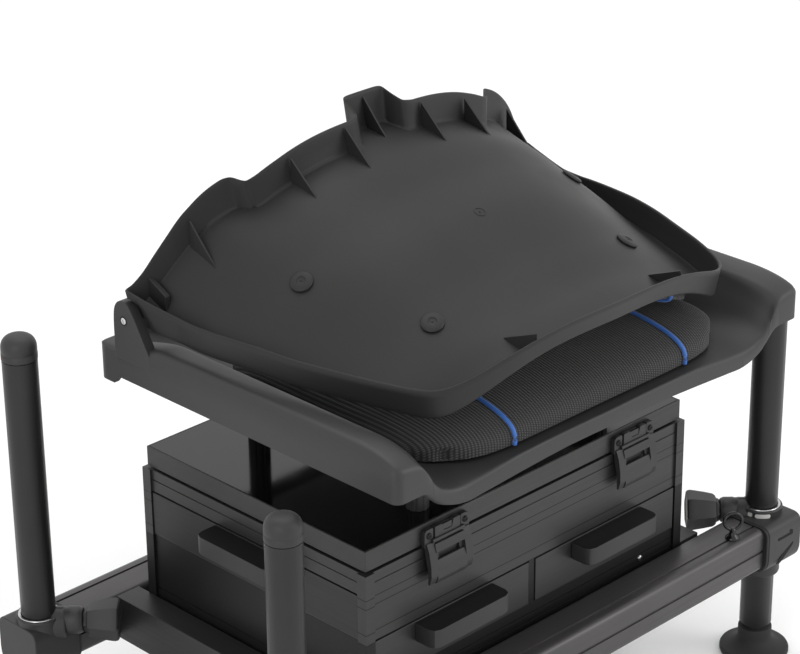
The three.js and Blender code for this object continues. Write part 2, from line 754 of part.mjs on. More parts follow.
const lidHingeY = outerBack + lidHingeBarrelRadius + gap;
const lidHingeHeight = lidBottom - lidSeam / 2;

// One leaf, reaching up or down from the pin's height
function hingeLeaf(first, direction, faceY) {
  const pitch = lidHingeLength / lidHingeKnuckles;
  const start = -lidHingeLength / 2;
  const band = (length) => span(direction, gap / 2, length).map((z) => lidHingeHeight + z);
  const [armBottom, armTop] = band(lidHingeLeafThickness);
  const parts = [];
  const round = (radius, from, to) => rod("x", radius, from, to, lidHingeY, lidHingeHeight, roundSides / 2);
  const cuts = [round(lidHingePinRadius + gap, start - overrun, -start + overrun)];
  for (let i = 0; i < lidHingeKnuckles; i++) {
    const x0 = start + i * pitch;
    const x1 = x0 + pitch;
    if (i % 2 === first) {
      parts.push(round(lidHingeBarrelRadius, x0 + gap, x1 - gap));
      parts.push(block(x0 + gap, x1 - gap, faceY + gap, lidHingeY, armBottom, armTop));
    } else {
      const room = lidHingeBarrelRadius + gap;
      cuts.push(block(x0 - gap, x1 + gap, lidHingeY - room, lidHingeY + room + overrun,
        lidHingeHeight - room, lidHingeHeight + room));
    }
  }
  const leafFace = faceY + gap;
  const leaf = block(start, -start, leafFace, leafFace + lidHingeLeafThickness, ...band(lidHingeLeafHeight));
  return cut(join(leaf, ...parts), ...cuts);
}

function buildLidHinge() {
  const steelFinish = finish(steel, 0.35, 0.9);
  const panelBack = outerBack - panelInset;
  add("lid_hinge_box_leaf", hingeLeaf(0, -1, panelBack), steelFinish.clone());
  add("lid_hinge_lid_leaf", hingeLeaf(1, 1, lidDepth), steelFinish.clone());
  const half = lidHingeLength / 2;
  add("lid_hinge_pin", rod("x", lidHingePinRadius, -half, half, lidHingeY, lidHingeHeight, roundSides / 2),
    steelFinish.clone());
}

// Toggle latches: base on the lid, lever hanging from it, keeper on the box

function buildLatch(name, x) {
  const plastic = finish(mouldedPlastic, 0.5);
  const baseTop = lidTopHeight - latchBaseDrop;
  const baseBottom = baseTop - latchBaseHeight;
  const y1 = -gap;
  const y0 = y1 - latchBaseThickness;
  const half = latchWidth / 2;
  const w = latchLeverWidth / 2;
  const pivotY = y0 - latchPinRadius;
  const pinBoreY = pivotY - gap;
  const pivotZ = baseBottom;
  const earTop = pivotZ + latchEarTop;
  const earFront = pivotY - latchEarReach;
  const earShape = [[y1, pivotZ - latchEarReach], [y1, earTop], [y0, earTop],
    [earFront, pivotZ + latchEarReach], [earFront, pivotZ - latchEarReach]];
  const ears = [-1, 1].map((side) => {
    const [a, b] = span(side, w + gap, w + gap + latchEarWidth);
    return prism("x", earShape, x + a, x + b);
  });
  const pinHalf = w + gap + latchEarWidth;
  const pin = rod("x", latchPinRadius - gap, x - pinHalf, x + pinHalf, pinBoreY, pivotZ, roundSides / 2);
  const base = join(block(x - half, x + half, y0, y1, baseBottom + latchEarReach, baseTop), ...ears, pin);
  add(`${name}_latch_base`, base, plastic.clone());

  const leverTop = pivotZ + latchEarReach - gap;
  const leverBottom = leverTop - latchLeverHeight;
  const leverBend = pivotZ - latchLeverHeight / 2;
  const tipY = y0 - latchLeverThickness - latchEarReach;
  const leverFront = pinBoreY - latchEarReach;
  const leverShape = [[y0 - gap, leverTop], [leverFront + latchLeverChamfer, leverTop],
    [leverFront, leverTop - latchLeverChamfer], [tipY, leverBend], [tipY, leverBottom],
    [tipY + latchLeverThickness, leverBottom], [y0 - latchKeeperReach / 2, leverBend],
    [y0 - gap, pivotZ - latchEarReach]];
  const boreHalf = w + overrun;
  const pinBore = rod("x", latchPinRadius, x - boreHalf, x + boreHalf, pinBoreY, pivotZ, roundSides / 2);
  const windowHalf = latchKeeperWidth / 2 + gap;
  const window = block(x - windowHalf, x + windowHalf, tipY - overrun, 0, pivotZ - latchWindowBottom,
    pivotZ - latchWindowTop);
  add(`${name}_latch_lever`, cut(prism("x", leverShape, x - w, x + w), pinBore, window), plastic.clone());

  const keeperTop = lidTopHeight - latchKeeperDrop;
  const hookBottom = keeperTop - latchKeeperHeight / 2;
  const keeperBottom = keeperTop - latchKeeperHeight;
  const panelFace = outerFront + panelInset - gap;
  const plateFace = panelFace - panelInset;
  const hookY = y0 + latchKeeperClearance - latchKeeperReach / 2;
  const keeper = prism("x", [[panelFace, keeperTop], [hookY, keeperTop], [hookY, hookBottom],
    [plateFace, hookBottom], [plateFace, keeperBottom], [panelFace, keeperBottom]],
  x - latchKeeperWidth / 2, x + latchKeeperWidth / 2);
  add(`${name}_latch_keeper`, keeper, plastic.clone());
}

// Seat tray: a thin saddle lofted from cross-sections between its front lip and its back wall.
// Each row is [across, up]: across is a share of the half width, up a share of the arm's rise.

const middleSectionShares = [[0, 0], [0.22, 0], [0.45, 0], [0.66, 0], [0.74, 0.04], [0.81, 0.2], [0.86, 0.55],
  [0.885, 0.88], [0.91, 0.98], [0.97, 1], [1, 0.92]];
const frontSectionShares = [[0, 0], [0.22, -0.01], [0.45, -0.02], [0.66, -0.05], [0.74, 0], [0.81, 0.12],
  [0.86, 0.24], [0.89, 0.36], [0.92, 0.45], [0.97, 0.56], [1, 0.52]];
const backSectionShares = [[0, 0], [0.22, 0], [0.45, 0], [0.66, 0.02], [0.74, 0.08], [0.81, 0.25],
  [0.86, 0.5], [0.885, 0.62], [0.91, 0.68], [0.97, 0.7], [1, 0.66]];
const lipUndersideShares = [[0, -0.32], [0.22, -0.32], [0.45, -0.33], [0.66, -0.35], [0.74, -0.3],
  [0.81, -0.14], [0.86, 0], [0.89, 0.05], [0.92, 0.09], [0.955, 0.105], [0.98, 0.105]];
const backUndersideShare = -0.06;

// Stations between the lip and the back wall, as shares of the front round, the straight stretch
// between the two rounds, and the back curve
const frontStationShares = [0.25, 0.5, 0.75, 1];
const straightStationShares = [0.33, 0.66, 1];
const backStationShares = [0.5, 1, 1.35, 1.6, 1.8];

const frontEase = (y) => {
  const t = THREE.MathUtils.clamp((trayFront + trayFrontRound - y) / trayFrontRound, 0, 1);
  return Math.pow(t, trayFrontEasePower);
};
const backEase = (y) => {
  const [start, end] = [trayBack - trayBackEaseStart, trayBack - trayBackEaseEnd];
  return THREE.MathUtils.smoothstep(y, start, end);
};
const backWallEase = (y) => {
  const t = THREE.MathUtils.clamp((y - trayBack + trayBackCurve) / trayBackCurve, 0, 1);
  return 1 - Math.sqrt(1 - t * t);
};

// How far the tray's outer wall is drawn in near its rounded front and back corners
const cornerShares = [[0, 0.965], [0.02, 0.985], [0.05, 1], [0.95, 1], [0.985, 0.995], [1, 0.985]];
const cornerWidth = curveThrough(cornerShares);

// Height of the tray's upper surface and its place across, at one point of a section
function trayPoint(i, y) {
  const a = frontEase(y);
  const b = backEase(y);
  const wall = backWallEase(y);
  const mix = (k) => THREE.MathUtils.lerp(
    THREE.MathUtils.lerp(middleSectionShares[i][k], backSectionShares[i][k], b), frontSectionShares[i][k], a);
  const across = mix(0) * cornerWidth((y - trayFront) / (trayBack - trayFront));
  const up = mix(1) * trayArmRise;
  const raised = Math.max(up, THREE.MathUtils.lerp(up, trayBackRise, wall));
  return [across * trayHalfWidth, trayFloorHeight + raised];
}

// One cross-section of the tray, from the left outer wall's foot over to the right one's
function traySection(y, solidEnd) {
  const half = middleSectionShares.map((_, i) => trayPoint(i, y));
  const [edge] = half[half.length - 1];
  half.push([edge, trayFloorHeight + trayWallFoot]);
  const top = [...half.slice(1).reverse().map(([x, z]) => [-x, z]), ...half];
  const count = top.length;
  const bottom = top.map(([x, z], i) => {
    const before = top[Math.max(i - 1, 0)];
    const after = top[Math.min(i + 1, count - 1)];
    const dx = after[0] - before[0];
    const dz = after[1] - before[1];
    const length = Math.hypot(dx, dz);
    return [x + (dz / length) * trayThickness, z - (dx / length) * trayThickness];
  });
  const foot = trayFloorHeight + trayWallFoot;
  bottom[0] = [-edge + trayThickness, foot];
  bottom[count - 1] = [edge - trayThickness, foot];
  if (solidEnd) {
    const middle = (count - 1) / 2;
    for (let i = 1; i < count - 1; i++) {
      const share = Math.abs(i - middle);
      const side = Math.sign(i - middle);
      const [across, up] = lipUndersideShares[share];
      const z = solidEnd === "front" ? up * trayArmRise : backUndersideShare * trayArmRise;
      const width = Math.min(edge, trayHalfWidth);
      bottom[i] = [side * across * width, trayFloorHeight + Math.min(z, trayWallFoot)];
    }
  }
  return { top: top.map(([x, z]) => [x, y, z]), bottom: bottom.map(([x, z]) => [x, y, z]) };
}

function trayBodyGeometry() {
  const lipBack = trayFront + trayLipThickness;
  const wallFront = trayBack - trayLipThickness;
  const stations = [[trayFront, "front"], [lipBack, "front"], [lipBack + gap, ""]];
  const roundEnd = trayFront + trayFrontRound;
  const curveStart = trayBack - trayBackCurve * 2;
  for (const share of frontStationShares) stations.push([trayFront + trayFrontRound * share, ""]);
  for (const share of straightStationShares) stations.push([roundEnd + (curveStart - roundEnd) * share, ""]);
  for (const share of backStationShares) stations.push([curveStart + trayBackCurve * share, ""]);
  stations.push([wallFront - gap, ""], [wallFront, "back"], [trayBack, "back"]);
  const sections = stations.map(([y, end]) => traySection(y, end));
  return slab(sections.map((section) => section.top), sections.map((section) => section.bottom));
}

// The ear's round top: [forward or back of the pin, above it] as shares of its half width and height
const earRoundShares = [[1, 0], [0.8, 0.57], [0.3, 1], [-0.35, 0.985], [-0.8, 0.53]];

function buildTray() {
  const foot = trayFloorHeight + trayArmRise / 2;
  const forward = pinY - earFootForward;
  const outline = [[pinY + earHalfWidth, foot],
    ...earRoundShares.map(([along, up]) => [pinY + earHalfWidth * along, pinHeight + earTopHeight * up]),
    [forward, pinHeight - earFootDrop], [forward, foot]].reverse();
  const earInside = trayHalfWidth - earThickness;
  const ears = [-1, 1].map((side) => prism("x", outline, ...span(side, earInside, trayHalfWidth)));
  add("seat_tray", cut(join(trayBodyGeometry(), ...ears), ...pinHoles()), finish(mouldedPlastic, 0.65));

  const postPoints = [];
  const steps = postFlutes * postFluteSteps;
  for (let i = 0; i < steps; i++) {
    const angle = (i / steps) * 2 * Math.PI;
    const radius = postRadius - postFluteDepth * Math.max(0, Math.cos(angle * postFlutes));
    postPoints.push([radius * Math.cos(angle), radius * Math.sin(angle)]);
  }
  for (const [name, sx, y] of [["front_left", -1, frontPostY], ["front_right", 1, frontPostY],
    ["rear_left", -1, rearPostY], ["rear_right", 1, rearPostY]]) {
    const moved = postPoints.map(([u, v]) => [sx * postOffsetX + u, y + v]);
    add(`${name}_tray_post`, prism("z", moved, lidTopHeight + gap, trayFloorHeight - trayThickness - gap),
      finish(mouldedPlastic, 0.5));
  }
}

// A rod on the backrest's axis, on one side, between two distances from the middle
function pinRod(side, radius, near, far) {
  return rod("x", radius, ...span(side, near, far), pinY, pinHeight, roundSides / 2);
}

function pinHoles() {
  return [-1, 1].map((side) => pinRod(side, pinRadius + gap, shellHalfWidth / 2, trayHalfWidth + overrun));
}

// Cushions: a grid over a rounded rectangle whose sides draw in between the corners.
// The upper and lower skins close towards a narrow edge, and each piping cord is a ridge.

const cushionColumnShares = [-1, -0.985, -0.95, -0.88, -0.75];
const cushionRowShares = [-1, -0.985, -0.95, -0.86, -0.7, -0.4, 0, 0.4, 0.7, 0.86, 0.95, 0.985, 1];

function cushionColumns(halfWidth, piping) {
  const p = piping / halfWidth;
  const w = pipingHalfWidth / halfWidth;
  const side = [...cushionColumnShares, -p - w, -p, -p + w, -p / 2];
  return [...side, 0, ...side.map((u) => -u).reverse()];
}

function cushionPlan(u, v, halfWidth, y0, y1, pull, corner) {
  const halfDepth = (y1 - y0) / 2;
  const rounding = corner * Math.abs(u * v) ** cushionCornerPower;
  const inX = pull * (1 - v * v) * Math.abs(u) ** cushionSidePower + rounding;
  const inY = pull * (1 - u * u) * Math.abs(v) ** cushionSidePower + rounding;
  return [halfWidth * u - Math.sign(u) * inX, (y0 + y1) / 2 + halfDepth * v - Math.sign(v) * inY];
}

// Fullness: one in the middle, falling to nothing at the edge along a quarter of an ellipse
function fullness(u, v) {
  const fall = (t, power) => Math.sqrt(1 - Math.pow(Math.abs(t), power));
  return fall(u, fullnessAcrossPower) * fall(v, fullnessAlongPower);
}

function cushionGeometry({ halfWidth, front, back, pull, corner, piping, lower, upper, edgeShare, ridgeOn }) {
  const columns = cushionColumns(halfWidth, piping);
  const top = [];
  const bottom = [];
  for (const v of cushionRowShares) {
    const topRow = [];
    const bottomRow = [];
    for (const u of columns) {
      const [x, y] = cushionPlan(u, v, halfWidth, front, back, pull, corner);
      const ridge = Math.abs(Math.abs(u) * halfWidth - piping) < pipingHalfWidth / 2 ? pipingRidge : 0;
      const full = fullness(u, v);
      const low = lower(x, y);
      const high = upper(x, y);
      const half = cushionEdgeHeight / 2;
      const middle = THREE.MathUtils.lerp(low + half, high - half, edgeShare);
      const raised = ridge * full;
      const topRidge = ridgeOn === "top" ? raised : 0;
      const bottomRidge = ridgeOn === "bottom" ? raised : 0;
      topRow.push([x, y, THREE.MathUtils.lerp(middle + half, high, full) + topRidge]);
      bottomRow.push([x, y, THREE.MathUtils.lerp(middle - half, low, full) - bottomRidge]);
    }
    top.push(topRow);
    bottom.push(bottomRow);
  }
  return slab(top, bottom);
}

function buildSeatCushion() {
  const lower = () => trayFloorHeight + slip;
  const upper = (x, y) => {
    const u = x / seatCushionHalfWidth;
    const v = (y - (seatCushionFront + seatCushionBack) / 2) / ((seatCushionBack - seatCushionFront) / 2);
    return trayFloorHeight + slip + seatCushionThickness * (1 - seatCushionCrownShare * (u * u + v * v) / 2);
  };
  add("seat_cushion", cushionGeometry({ halfWidth: seatCushionHalfWidth, front: seatCushionFront,
    back: seatCushionBack, pull: seatCushionPull, corner: seatCushionCorner, piping: pipingOffset,
    lower, upper, edgeShare: seatCushionEdgeShare, ridgeOn: "top" }), finish(fabric, 0.9));
}

// Backrest shell: a dome whose height is the centre line's, falling to the sides' by a power curve.
// Distances forward of the pin are shares of the shell's length; widths are shares of its half width.

const centreHeightShares = [[-0.01, 1], [0.045, 0.985], [0.12, 0.96], [0.257, 0.91], [0.388, 0.76],
  [0.521, 0.625], [0.706, 0.345], [0.835, 0.205], [0.92, 0.175], [1, 0.165]];
const sideHeightShares = [[-0.01, 1], [0.09, 0.62], [0.16, 0.47], [0.45, 0.38], [0.71, 0.14], [0.86, 0],
  [1, 0]];
const floorWidthShares = [[-0.01, 0.985], [0.16, 0.945], [0.285, 0.942], [0.394, 0.925], [0.535, 0.893],
  [0.634, 0.848], [0.74, 0.8], [0.814, 0.757], [0.858, 0.726], [1, 0.72]];
const centreHeight = curveThrough(centreHeightShares);
const sideHeight = curveThrough(sideHeightShares);
const floorWidth = curveThrough(floorWidthShares);

// Height of the dome's outer face at a place across and forward of the pin
function shellFloor(x, forward) {
  const t = forward / shellLength;
  const side = shellSideHeight + shellSideLift * sideHeight(t);
  const centre = shellSideHeight + shellSideLift * 1.5 + (shellCentreRise - shellSideLift) * centreHeight(t);
  const across = Math.min(Math.abs(x) / (shellHalfWidth * floorWidth(t)), 1);
  return side + (centre - side) * (1 - Math.pow(across, shellArchPower));
}

// Half of the rim's outline, from the middle of the hinge end round to the middle of the free end.
// Each row is [across, forward, extra height of the wall as a share of its rise].
const rimShares = [[0, 0.105, 0.8], [0.05, 0.105, 0.8], [0.094, 0.107, 0.8], [0.104, 0.118, 0.1],
  [0.14, 0.134, 0.08], [0.26, 0.125, 0.1], [0.375, 0.118, 0.12], [0.47, 0.112, 0.14], [0.55, 0.103, 0.16],
  [0.59, 0.09, 0.2], [0.615, 0.066, 0.3], [0.645, 0.05, 0.42], [0.69, 0.044, 0.5], [0.765, 0.041, 0.5],
  [0.846, 0.031, 0.45], [0.895, 0.014, 0.42], [0.94, -0.006, 0.3], [0.972, -0.008, 0.1],
  [1, -0.003, -0.15], [0.985, 0.075, 0], [0.965, 0.165, 0], [0.962, 0.285, 0], [0.944, 0.394, 0],
  [0.913, 0.535, 0], [0.868, 0.634, 0], [0.821, 0.74, 0], [0.778, 0.814, 0], [0.748, 0.862, 0],
  [0.715, 0.892, 0], [0.66, 0.912, 0], [0.57, 0.94, 0], [0.44, 0.967, 0], [0.3, 0.984, 0],
  [0.15, 0.996, 0], [0, 1, 0]];

function rimOutline() {
  const half = rimShares.map(([across, forward, extra]) => ({
    x: across * shellHalfWidth, y: pinY - forward * shellLength, rise: shellRimRise * (1 + extra),
  }));
  const mirrored = half.slice(1, -1).reverse().map(({ x, y, rise }) => ({ x: -x, y, rise }));
  return [...half, ...mirrored];
}

// The rim's outline drawn towards the dome's middle by a distance
function inwards({ x, y }, distance) {
  const cy = pinY - shellCentreForward;
  const length = Math.hypot(x, y - cy);
  const share = (length - distance) / length;
  return [x * share, cy + (y - cy) * share];
}

// Rings of the dome's floor between its middle and the rim
const floorRingShares = [0.25, 0.46, 0.63, 0.76, 0.87, 0.95];

function shellGeometry() {
  const outline = rimOutline();
  const cy = pinY - shellCentreForward;
  const floorAt = (x, y) => shellFloor(x, pinY - y);
  const edge = outline.map((point) => {
    const [x, y] = inwards(point, shellDraft);
    return { x, y, z: floorAt(x, y) };
  });
  const rimTop = outline.map(({ rise }, i) => edge[i].z + rise);
  const scaled = (share, drop) => edge.map(({ x, y }) => {
    const px = x * share;
    const py = cy + (y - cy) * share;
    return [px, py, floorAt(px, py) - drop];
  });
  const at = (distance, heights) => outline.map((point, i) => [...inwards(point, distance), heights[i]]);
  const innerFloor = edge.map(({ z }) => z);
  const rings = [
    ...floorRingShares.map((share) => scaled(share, 0)),
    at(shellDraft + shellWall, innerFloor),
    at(shellWall, rimTop),
    at(0, rimTop),
    at(shellDraft, innerFloor.map((z) => z - shellSkin)),
    ...[...floorRingShares].reverse().map((share) => scaled(share, shellSkin)),
  ];
  return ringSkin([0, cy, floorAt(0, cy)], rings, [0, cy, floorAt(0, cy) - shellSkin]);
}

const rivetShares = [["rear", 0.667, 0.389], ["front", 0.483, 0.705]];
const gussetShares = [[0.17, 0.14], [0.4, 0.125], [0.78, 0.048]];
const frontGussetShares = [[0.38, 0.965], [0.62, 0.92]];

// Triangular webs that brace the rim against the dome
function gussets() {
  const webs = [];
  const web = (x, y, direction) => {
    const from = y + direction * gussetSetIn;
    const to = y + direction * gussetLength;
    const low = Math.min(shellFloor(x, pinY - from), shellFloor(x, pinY - to)) - shellSkin / 2;
    const high = shellFloor(x, pinY - from) + gussetHeight;
    const foot = shellFloor(x, pinY - to) - shellSkin / 2;
    const points = [[from, low], [from, high], [to, foot + gap], [to, foot - gap]];
    const ordered = direction > 0 ? points.reverse() : points;
    return prism("x", ordered, x - gussetThickness / 2, x + gussetThickness / 2);
  };
  for (const side of [-1, 1]) {
    for (const [across, forward] of gussetShares) {
      webs.push(web(side * across * shellHalfWidth, pinY - forward * shellLength, -1));
    }
    for (const [across, forward] of frontGussetShares) {
      webs.push(web(side * across * shellHalfWidth, pinY - forward * shellLength, 1));
    }
  }
  return webs;
}

// Where a rivet's seat lies and which way the dome faces there
function rivetSeat(side, across, forward) {
  const x = side * across * shellHalfWidth;
  const reach = forward * shellLength;
  const step = rivetHeadRadius;
  const slopeX = (shellFloor(x + step, reach) - shellFloor(x - step, reach)) / (step * 2);
  const slopeY = (shellFloor(x, reach - step) - shellFloor(x, reach + step)) / (step * 2);
  const normal = new THREE.Vector3(-slopeX, -slopeY, 1).normalize();
  return { place: new THREE.Vector3(x, pinY - reach, shellFloor(x, reach)), normal };
}

function onSeat(geometry, { place, normal }) {
  const turn = new THREE.Quaternion().setFromUnitVectors(new THREE.Vector3(0, 0, 1), normal);
  return geometry.applyQuaternion(turn).translate(place.x, place.y, place.z);
}

// The plates that hang from the dome's hinge end and take the pins
function hingeLugs() {
  const near = trayHalfWidth - lugInset;
  const r = lugHalfWidth;
  const top = shellSideHeight + shellRimRise + shellSideLift;
  const forward = pinY - lugReach;
  const outline = [[forward, shellSideHeight + shellSideLift / 2], [pinY - r, pinHeight - r / 2],
    [pinY - r / 2, pinHeight - r], [pinY, pinHeight - r], [pinY, top + shellSkin],
    [forward, top - shellSideLift / 2]];
  return [-1, 1].map((side) => prism("x", outline, ...span(side, near, near + lugThickness)));
}

// Room round the tray's ears, through which the rim swings
function earRooms() {
  const r = earHalfWidth;
  const top = pinHeight + earTopHeight + earTopClearance;
  const bottom = pinHeight - earFootDrop * 2;
  const back = pinY + r + earClearanceReach;
  const forward = pinY - earFootForward - earClearance;
  const [shoulder] = earRoundShares[earRoundShares.length - 1];
  const outline = [[back, top], [back, bottom], [forward, bottom],
    [forward, pinHeight - earFootDrop + earClearance],
    [pinY + r * shoulder - earClearance, pinHeight + r], [pinY - r / 2, top]].reverse();
  const near = trayHalfWidth - earThickness - slip;
  return [-1, 1].map((side) => prism("x", outline, ...span(side, near, trayHalfWidth + overrun)));
}

function buildBackrest() {
  const seats = [];
  for (const [name, across, forward] of rivetShares) {
    for (const [sideName, side] of [["left", -1], ["right", 1]]) {
      seats.push({ name: `${name}_${sideName}_rivet`, ...rivetSeat(side, across, forward) });
    }
  }
  const stemHole = () => rodAt(rivetStemRadius + gap, -shellSkin - overrun, overrun);
  const stemHoles = seats.map((seat) => onSeat(stemHole(), seat));
  const shell = cut(join(shellGeometry(), ...gussets()), ...earRooms());
  const holed = cut(join(shell, ...hingeLugs()), ...pinHoles(), ...stemHoles);
  add("backrest_shell", holed, finish(mouldedPlastic, 0.6));

  for (const seat of seats) {
    const rivet = join(rodAt(rivetHeadRadius, rivetClearance, rivetClearance + rivetHeadHeight),
      rodAt(rivetStemRadius, -rivetStemLength, rivetClearance + rivetHeadHeight / 2));
    add(seat.name, onSeat(rivet, seat), finish(mouldedPlastic, 0.5));
  }

  for (const [name, side] of [["left", -1], ["right", 1]]) {
    const pin = pinRod(side, pinRadius, trayHalfWidth - lugInset - pinInset, trayHalfWidth - gap);
    add(`${name}_hinge_pin`, pin, finish(steel, 0.3, 1));
  }

  const upper = (x, y) => shellFloor(x, pinY - y) - shellSkin - backCushionClearance;
  const lower = (x, y) => upper(x, y) - backCushionThickness;
  add("backrest_cushion", cushionGeometry({ halfWidth: backCushionHalfWidth, front: backCushionFront,
    back: backCushionBack, pull: backCushionPull, corner: backCushionCorner, piping: backPipingOffset,
    lower, upper, edgeShare: backCushionEdgeShare, ridgeOn: "bottom" }), finish(fabric, 0.9));
}

function rodAt(radius, from, to) {
  return prism("z", circlePoints(radius, 0, 0, roundSides / 2), from, to);
}

buildFrame();
for (const corner of corners) {
  buildLeg(corner);
  buildClamp(corner);
  if (corner.front) buildEyeScrew(corner);
}
buildModules();
buildDrawers();
buildLid();
buildLidHinge();
buildLatch("left", -latchOffset);
buildLatch("right", latchRightOffset);
buildTray();
buildSeatCushion();
buildBackrest();

// The part's own origin: the middle of its outline, on the ground
const bounds = new THREE.Box3().setFromObject(model, true);
const middle = bounds.getCenter(new THREE.Vector3());
model.position.set(-middle.x, -middle.y, -bounds.min.z);

export default model;
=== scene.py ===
"""A match-fishing seat box in black, with its padded backrest folded forward over the seat.

Shapes are worked out in millimetres from the lid's front edge, the box's middle and the ground.
The frame's origin lies 144 mm behind that edge.
"""

import bmesh
import bpy
import numpy as np
from mathutils import Matrix, Vector


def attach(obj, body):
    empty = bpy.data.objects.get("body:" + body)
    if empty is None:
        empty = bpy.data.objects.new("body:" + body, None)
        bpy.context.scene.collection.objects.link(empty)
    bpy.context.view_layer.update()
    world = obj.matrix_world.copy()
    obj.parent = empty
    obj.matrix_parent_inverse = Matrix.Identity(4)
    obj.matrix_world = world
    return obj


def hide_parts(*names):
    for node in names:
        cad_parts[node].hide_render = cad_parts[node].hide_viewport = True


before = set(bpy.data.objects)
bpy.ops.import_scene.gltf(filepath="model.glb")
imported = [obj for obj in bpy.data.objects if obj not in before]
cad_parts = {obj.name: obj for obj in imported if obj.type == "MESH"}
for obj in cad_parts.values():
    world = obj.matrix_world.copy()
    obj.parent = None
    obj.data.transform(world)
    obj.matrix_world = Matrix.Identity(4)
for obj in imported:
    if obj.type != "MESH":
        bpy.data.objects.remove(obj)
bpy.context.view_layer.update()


# Studio: a pale floor under the box, a bright even room and three large soft lamps.
# The camera stands at the front left, looking down on the lid, as for a catalogue picture.


def linear(code):
    """An sRGB hex colour such as "3c3b3b" as linear red, green, blue and alpha."""
    channel = np.array([int(code[i : i + 2], 16) for i in (0, 2, 4)]) / 255
    low = channel / 12.92
    high = ((channel + 0.055) / 1.055) ** 2.4
    return (*np.where(channel <= 0.04045, low, high).tolist(), 1.0)


def feed(node, inputs):
    """Sets a node's inputs to values, or links them from sockets or from a node's main output."""
    for key, value in dict(inputs).items():
        if isinstance(value, bpy.types.Node):
            value = next(output for output in value.outputs if output.enabled)
        if isinstance(value, bpy.types.NodeSocket):
            node.id_data.links.new(value, node.inputs[key])
        else:
            node.inputs[key].default_value = value


def add_node(tree, kind, inputs=(), **settings):
    """One shader node with its settings and inputs."""
    node = tree.nodes.new("ShaderNode" + kind)
    for key, value in settings.items():
        setattr(node, key, value)
    feed(node, inputs)
    return node


def seen_plainly(tree):
    """One for what the camera sees, straight or in a gloss, and nothing for light on a surface."""
    path = add_node(tree, "LightPath").outputs
    rays = {0: path["Is Camera Ray"], 1: path["Is Glossy Ray"]}
    return add_node(tree, "Math", rays, operation="MAXIMUM")


def shown_object(name, mesh):
    """A new object with the mesh, put in the scene."""
    thing = bpy.data.objects.new(name, mesh)
    bpy.context.scene.collection.objects.link(thing)
    return thing


# The camera was solved from the photograph, 800 by 654 pixels, as a turn, a tilt and a lean. The lid's
# near corner shows at its pixel, 2.507 m along the view.
turn, tilt, lean = np.radians([44.51, 24.27, 0.59])
turned = Matrix.Rotation(-turn, 3, "Z") @ Matrix.Rotation(np.pi / 2 - tilt, 3, "X")
turned = turned @ Matrix.Rotation(-lean, 3, "Z")
picture_width, middle_across, middle_down, focal_pixels = 800, 400, 327, 2644
lid_corner, corner_across, corner_down, corner_depth = Vector((-0.2327, -0.144, 0.35)), 365, 553, 2.507
aside, above = (corner_across - middle_across) / focal_pixels, (middle_down - corner_down) / focal_pixels
camera_place = lid_corner - turned @ Vector((aside, above, -1)) * corner_depth
camera_data = bpy.data.cameras.new("catalogue_camera")
camera_data.lens = focal_pixels / picture_width * 36
camera_data.clip_end = 50
camera = shown_object("catalogue_camera", camera_data)
camera.matrix_world = Matrix.LocRotScale(camera_place, turned, None)
bpy.context.scene.camera = camera
bpy.context.scene.view_settings.view_transform = "Standard"

world = bpy.data.worlds.new("bright_room")
bpy.context.scene.world = world
world.use_nodes = True
room = world.node_tree
room.nodes.clear()
lit_room = add_node(room, "Background", {"Color": (0.96, 0.96, 0.96, 1)})
white_room = add_node(room, "Background", {"Color": (1, 1, 1, 1)})
room_mix = add_node(room, "MixShader", {0: seen_plainly(room), 1: lit_room, 2: white_room})
add_node(room, "OutputWorld", {"Surface": room_mix})

box_middle = Vector((0, 0, 0.35))
for lamp_name, place, size, power in [
    ("overhead_lamp", (0.3, 0.5, 2.6), 1.8, 9),
    ("right_lamp", (1.5, -2.0, 1.4), 1.4, 16),
    ("left_lamp", (-2.4, -0.9, 1.3), 1.4, 9),
]:
    lamp = bpy.data.lights.new(lamp_name, "AREA")
    lamp.shape = "DISK"
    lamp.size = size
    lamp.energy = power
    lamp_object = shown_object(lamp_name, lamp)
    lamp_object.location = place
    lamp_object.rotation_euler = (box_middle - Vector(place)).to_track_quat("-Z", "Y").to_euler()

floor_mesh = bpy.data.meshes.new("studio_floor")
floor_mesh.from_pydata([(-9, -9, 0), (9, -9, 0), (9, 9, 0), (-9, 9, 0)], [], [(0, 1, 2, 3)])
studio_floor = shown_object("studio_floor", floor_mesh)
painted_floor = bpy.data.materials.new("matt_white_floor")
painted_floor.use_nodes = True
floor_tree = painted_floor.node_tree
floor_tree.nodes.clear()
floor_colours = {"Factor": seen_plainly(floor_tree), "A": linear("b4b4b4"), "B": linear("ffffff")}
floor_white = add_node(floor_tree, "Mix", floor_colours, data_type="RGBA")
floor_surface = add_node(floor_tree, "BsdfDiffuse", {"Color": floor_white})
add_node(floor_tree, "OutputMaterial", {"Surface": floor_surface})
floor_mesh.materials.append(painted_floor)


# Frame: two hollow square rails of black anodised aluminium, drawn with a groove along the top
# and each side, and two L-shaped rails between them that carry the box on their inner foot.


def principled(name, colour, roughness, metallic=0.0):
    """A new material with one Principled shader: its tree, its shader and itself."""
    material = bpy.data.materials.new(name)
    material.use_nodes = True
    shader = material.node_tree.nodes["Principled BSDF"]
    feed(shader, {"Base Color": linear(colour), "Roughness": roughness, "Metallic": metallic})
    return material.node_tree, shader, material


def lighter(colour, gain):
    """A hex colour as linear red, green, blue and alpha, gain times as light."""
    return [min(1.0, c * gain) for c in linear(colour)[:3]] + [1.0]


